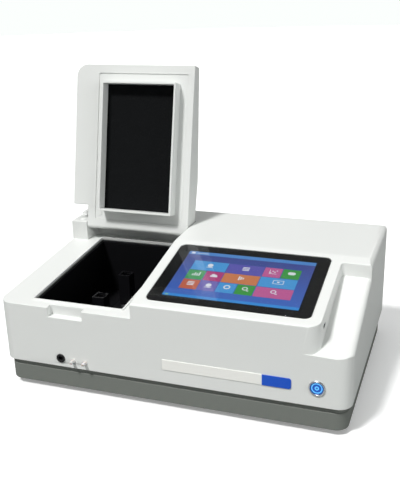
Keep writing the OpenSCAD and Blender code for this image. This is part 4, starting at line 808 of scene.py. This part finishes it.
def sign_screen(x, y, s):
    sign_bar(x, y + 0.42 * s, 1.5 * s, 0.1 * s)
    sign_bar(x, y - 0.42 * s, 1.5 * s, 0.1 * s)
    sign_bar(x - 0.72 * s, y, 0.1 * s, 0.9 * s)
    sign_bar(x + 0.72 * s, y, 0.1 * s, 0.9 * s)
    sign_disc(x, y, 0.18 * s)


def sign_lens(x, y, s):
    sign_disc(x - 0.1 * s, y + 0.1 * s, 0.42 * s, 0.26 * s)
    sign_bar(x + 0.34 * s, y - 0.36 * s, 0.34 * s, 0.2 * s)


sky_blue = paint(74, 164, 232)
iris = paint(96, 92, 186)
rose = paint(204, 98, 160)
leaf = paint(62, 164, 70)
meadow = paint(70, 168, 98)
berry = paint(188, 62, 130)
clay = paint(216, 132, 84)
brick = paint(206, 104, 72)
lilac = paint(118, 108, 192)
sign_white = paint(236, 242, 250)
# The tiles of each row: how many columns wide, which colour, which sign.
tile_rows = [
    [(2, sky_blue, sign_cup), (2, iris, sign_list), (1, rose, sign_curve), (1, leaf, sign_oval)],
    [(1, meadow, sign_columns), (1, berry, sign_cloud), (2, clay, sign_play),
     (2, sky_blue, sign_screen)],
    [(1, brick, sign_list), (1, lilac, sign_cup), (1, sky_blue, sign_ring), (1, leaf, sign_lens),
     (2, rose, sign_lens)],
]
tiles_left = 0.087
tiles_right = 0.922
tiles_top = 0.805
tiles_bottom = 0.175
tile_gap = 0.006
gap_above = 1.6 * tile_gap
sign_rise = 0.56
column_w = (tiles_right - tiles_left) / 6
row_h = (tiles_top - tiles_bottom) / 3
sign_z = picture_z + 3 * tile_t
sign_size = 9 * MM

# The ground, the top bar, the bottom bar, then two marks in the top bar and one below.
picture_block(0, 0, 1, 1, 0, paint(66, 112, 206), top_color=paint(66, 76, 150))
picture_block(0, 0.93, 1, 0.07, 1, paint(84, 146, 220))
picture_block(0, 0, 1, 0.055, 1, paint(52, 150, 232))
picture_block(0.02, 0.945, 0.03, 0.04, 2, sign_white, corner=0.8 * MM)
picture_block(0.07, 0.955, 0.09, 0.018, 2, paint(190, 214, 240))
picture_block(0.02, 0.015, 0.025, 0.025, 2, paint(150, 210, 170), corner=0.6 * MM)
for row, tiles in enumerate(tile_rows):
    column = 0
    for span, color, sign in tiles:
        left = tiles_left + column * column_w
        bottom = tiles_top - (row + 1) * row_h
        picture_block(left, bottom, span * column_w - tile_gap, row_h - gap_above, 1, color)
        centre_x = picture_x + (left + span * column_w / 2 - 0.5) * picture_w
        centre_y = picture_y + (bottom + row_h * sign_rise - 0.5) * picture_h
        sign(centre_x, centre_y, sign_size)
        column += span
deselect()
for part in picture_parts:
    part.select_set(True)
bpy.context.view_layer.objects.active = picture_parts[0]
bpy.ops.object.join()
picture = bpy.context.object
picture.name = "screen_picture"
picture.data.materials.clear()
picture.data.materials.append(lit_picture)
lay_on_slope(picture)
settle(picture, "casing", "lcd_picture")
frame_tin = brushed("screen_tin_frame", paint(150, 152, 155),
                    roughness=0.4, stretch=ACROSS, depth=0.1)
dress(frame_tin, "lcd_panel", "display_bracket")


# ---------------------------------------------------------------- nameplate and badge
# A thin brushed strip is stuck to the front, and a blue enamelled badge closes its right
# end. Both are left blank.
strip_metal = moulded("silver_strip_lacquer", paint(240, 240, 236),
                      roughness=0.36, grain=1200, depth=0.06, tone=0.03, worn_edge=0.1,
                      Metallic=0.05)
softened("nameplate", "nameplate_strip", "casing", "silver_strip",
         edge=0.25 * MM, material=strip_metal)
enamel = moulded("blue_enamel", paint(4, 80, 198),
                 roughness=0.3, grain=300, depth=0.03, tone=0.05, worn_edge=0.1,
                 Coat_Weight=0.2)
softened("badge", "badge_plate", "casing", "blue_badge",
         edge=0.3 * MM, material=enamel)


# ---------------------------------------------------------------- power button
# A polished metal ring holds a push cap with two lit rings moulded into it. The switch
# body behind it is held to the cover by a nut.
chrome = brushed("polished_ring", paint(226, 228, 232),
                 roughness=0.28, stretch=EVEN, depth=0.02)
dress(chrome, "power_nut")
softened("power_ring", "power_bezel", "casing", "chrome_ring",
         edge=0.3 * MM, material=chrome)
cap_blue = moulded("blue_lit_cap", paint(24, 84, 180),
                   roughness=0.3, grain=900, depth=0.03, tone=0.06, worn_edge=0.1,
                   Emission_Color=paint(20, 90, 200), Emission_Strength=0.15)
dress(cap_blue, "power_cap")
glow, given, result = new_group(
    "ring_glow",
    [("Color", "NodeSocketColor", (0.3, 0.8, 1, 1)), ("Patches", "NodeSocketFloat", 0.15)],
    [("Color", "NodeSocketColor")],
)
place = node(glow, "ShaderNodeTexCoord")
cloud = node(glow, "ShaderNodeTexNoise", Scale=300.0)
patchy = node(glow, "ShaderNodeMath", operation="MULTIPLY")
level = node(glow, "ShaderNodeMath", operation="SUBTRACT", in_0=1.0)
shown = node(glow, "ShaderNodeVectorMath", operation="SCALE")
link = glow.links.new
link(place.outputs["Object"], cloud.inputs["Vector"])
link(cloud.outputs["Fac"], patchy.inputs[0])
link(given.outputs["Patches"], patchy.inputs[1])
link(patchy.outputs[0], level.inputs[1])
link(given.outputs["Color"], shown.inputs[0])
link(level.outputs[0], shown.inputs["Scale"])
link(shown.outputs["Vector"], result.inputs["Color"])
lit_ring = finish_material(
    "lit_ring", glow, {"Color": paint(96, 184, 240), "Patches": 0.2}, {"Color": "Emission Color"},
    Base_Color=paint(90, 170, 225), Roughness=0.3, Emission_Strength=0.75,
)
dress(lit_ring, "power_light_rings")
black_plastic = moulded("black_plastic", paint(30, 31, 33),
                        roughness=0.5, grain=900, depth=0.2, tone=0.1, worn_edge=0.15)
dress(black_plastic, "power_switch_body", "detectors")


# ---------------------------------------------------------------- ports on the front
# A soft black grommet takes the sipper tube, and two nylon nipples take hoses. A flat
# data socket is let into the wall beside the side tray.
grommet_rubber = moulded("grommet_rubber", paint(18, 18, 20),
                         roughness=0.6, grain=1500, depth=0.15, tone=0.1, worn_edge=0.2)
softened("tube_grommet", "port_grommet", "casing", "black_rubber",
         edge=0.4 * MM, material=grommet_rubber)
socket_steel = brushed("plated_socket", paint(170, 172, 176),
                       roughness=0.32, stretch=UPWARDS, depth=0.08)
dress(socket_steel, "side_usb_port", "data_ports")


# ---------------------------------------------------------------- optical bench
# Machined aluminium bed on rubber mounts, sheet-steel lamp house, quartz lamps and
# windows, coated mirrors and grating, and the brass pinion that turns the grating table.
machined = brushed("machined_aluminium", paint(190, 192, 196),
                   roughness=0.34, stretch=ACROSS, depth=0.15)
dress(machined, "optical_bed", "grating_mount")
zinc_sheet = brushed("zinc_sheet", paint(172, 175, 178),
                     roughness=0.42, stretch=UPWARDS, depth=0.12)
dress(zinc_sheet, "lamp_house", "mirror_motor", "filter_motor", "stepper_motor", "power_supply")
coated = brushed("mirror_coating", paint(232, 234, 240),
                 roughness=0.04, stretch=EVEN, depth=0.01)
dress(coated, "source_mirror", "concave_mirrors", "grating", "beam_mirrors")
brass = brushed("turned_brass", paint(206, 168, 92),
                roughness=0.24, stretch=UPWARDS, depth=0.1)
dress(brass, "drive_pinion")
quartz = finish_material(
    "clear_quartz", finger_marks, {"Roughness": 0.01, "Marks": 0.03},
    {"Roughness": "Roughness"}, Transmission_Weight=1.0, IOR=1.46,
)
dress(quartz, "beam_windows", "deuterium_lamp", "halogen_lamp")


# ---------------------------------------------------------------- circuit boards
# Green boards: the main one on the base, and one behind the screen. A network of copper
# tracks stands up a little under the solder resist.
board_tracks, given, result = new_group(
    "board_tracks",
    [
        ("Resist", "NodeSocketColor", (0.01, 0.1, 0.04, 1)),
        ("Track", "NodeSocketColor", (0.03, 0.2, 0.08, 1)),
    ],
    [("Color", "NodeSocketColor"), ("Normal", "NodeSocketVector")],
)
place = node(board_tracks, "ShaderNodeTexCoord")
tracks = node(board_tracks, "ShaderNodeTexVoronoi", distance="MANHATTAN", feature="F1",
              Scale=140.0)
edge = node(board_tracks, "ShaderNodeMath", operation="PINGPONG", in_1=0.12)
line = node(board_tracks, "ShaderNodeMapRange", From_Min=0.05, From_Max=0.07)
mixed = node(board_tracks, "ShaderNodeMix", data_type="RGBA")
relief = node(board_tracks, "ShaderNodeBump", Strength=0.3, Distance=0.0001)
link = board_tracks.links.new
link(place.outputs["Object"], tracks.inputs["Vector"])
link(tracks.outputs["Distance"], edge.inputs[0])
link(edge.outputs[0], line.inputs["Value"])
link(line.outputs["Result"], mixed.inputs["Factor"])
link(given.outputs["Resist"], mixed.inputs["A"])
link(given.outputs["Track"], mixed.inputs["B"])
link(line.outputs["Result"], relief.inputs["Height"])
link(mixed.outputs["Result"], result.inputs["Color"])
link(relief.outputs["Normal"], result.inputs["Normal"])
board = finish_material(
    "circuit_board", board_tracks, {"Resist": paint(20, 92, 52), "Track": paint(46, 130, 74)},
    {"Color": "Base Color", "Normal": "Normal"}, Roughness=0.3,
)
dress(board, "main_board", "display_board")


# ---------------------------------------------------------------- rear panel
# An 80 mm fan behind a plated wire guard, the mains inlet with its fuse drawer, and two
# data sockets, all screwed or clipped into the cover's rear wall.
fan_plastic = moulded("fan_plastic", paint(26, 26, 28),
                      roughness=0.45, grain=1000, depth=0.15, tone=0.08, worn_edge=0.2)
softened("fan_housing", "fan_frame", "casing", "fan_black",
         edge=0.4 * MM, material=fan_plastic)
dress(fan_plastic, "fan_rotor")
plated_wire = brushed("plated_wire", paint(200, 202, 206),
                      roughness=0.2, stretch=EVEN, depth=0.05)
dress(plated_wire, "fan_guard")
softened("mains_socket", "mains_inlet", "casing", "black_plastic",
         edge=0.4 * MM, material=black_plastic)
softened("fuse_holder", "fuse_drawer", "fuse_tray", "black_plastic",
         edge=0.3 * MM, material=black_plastic)
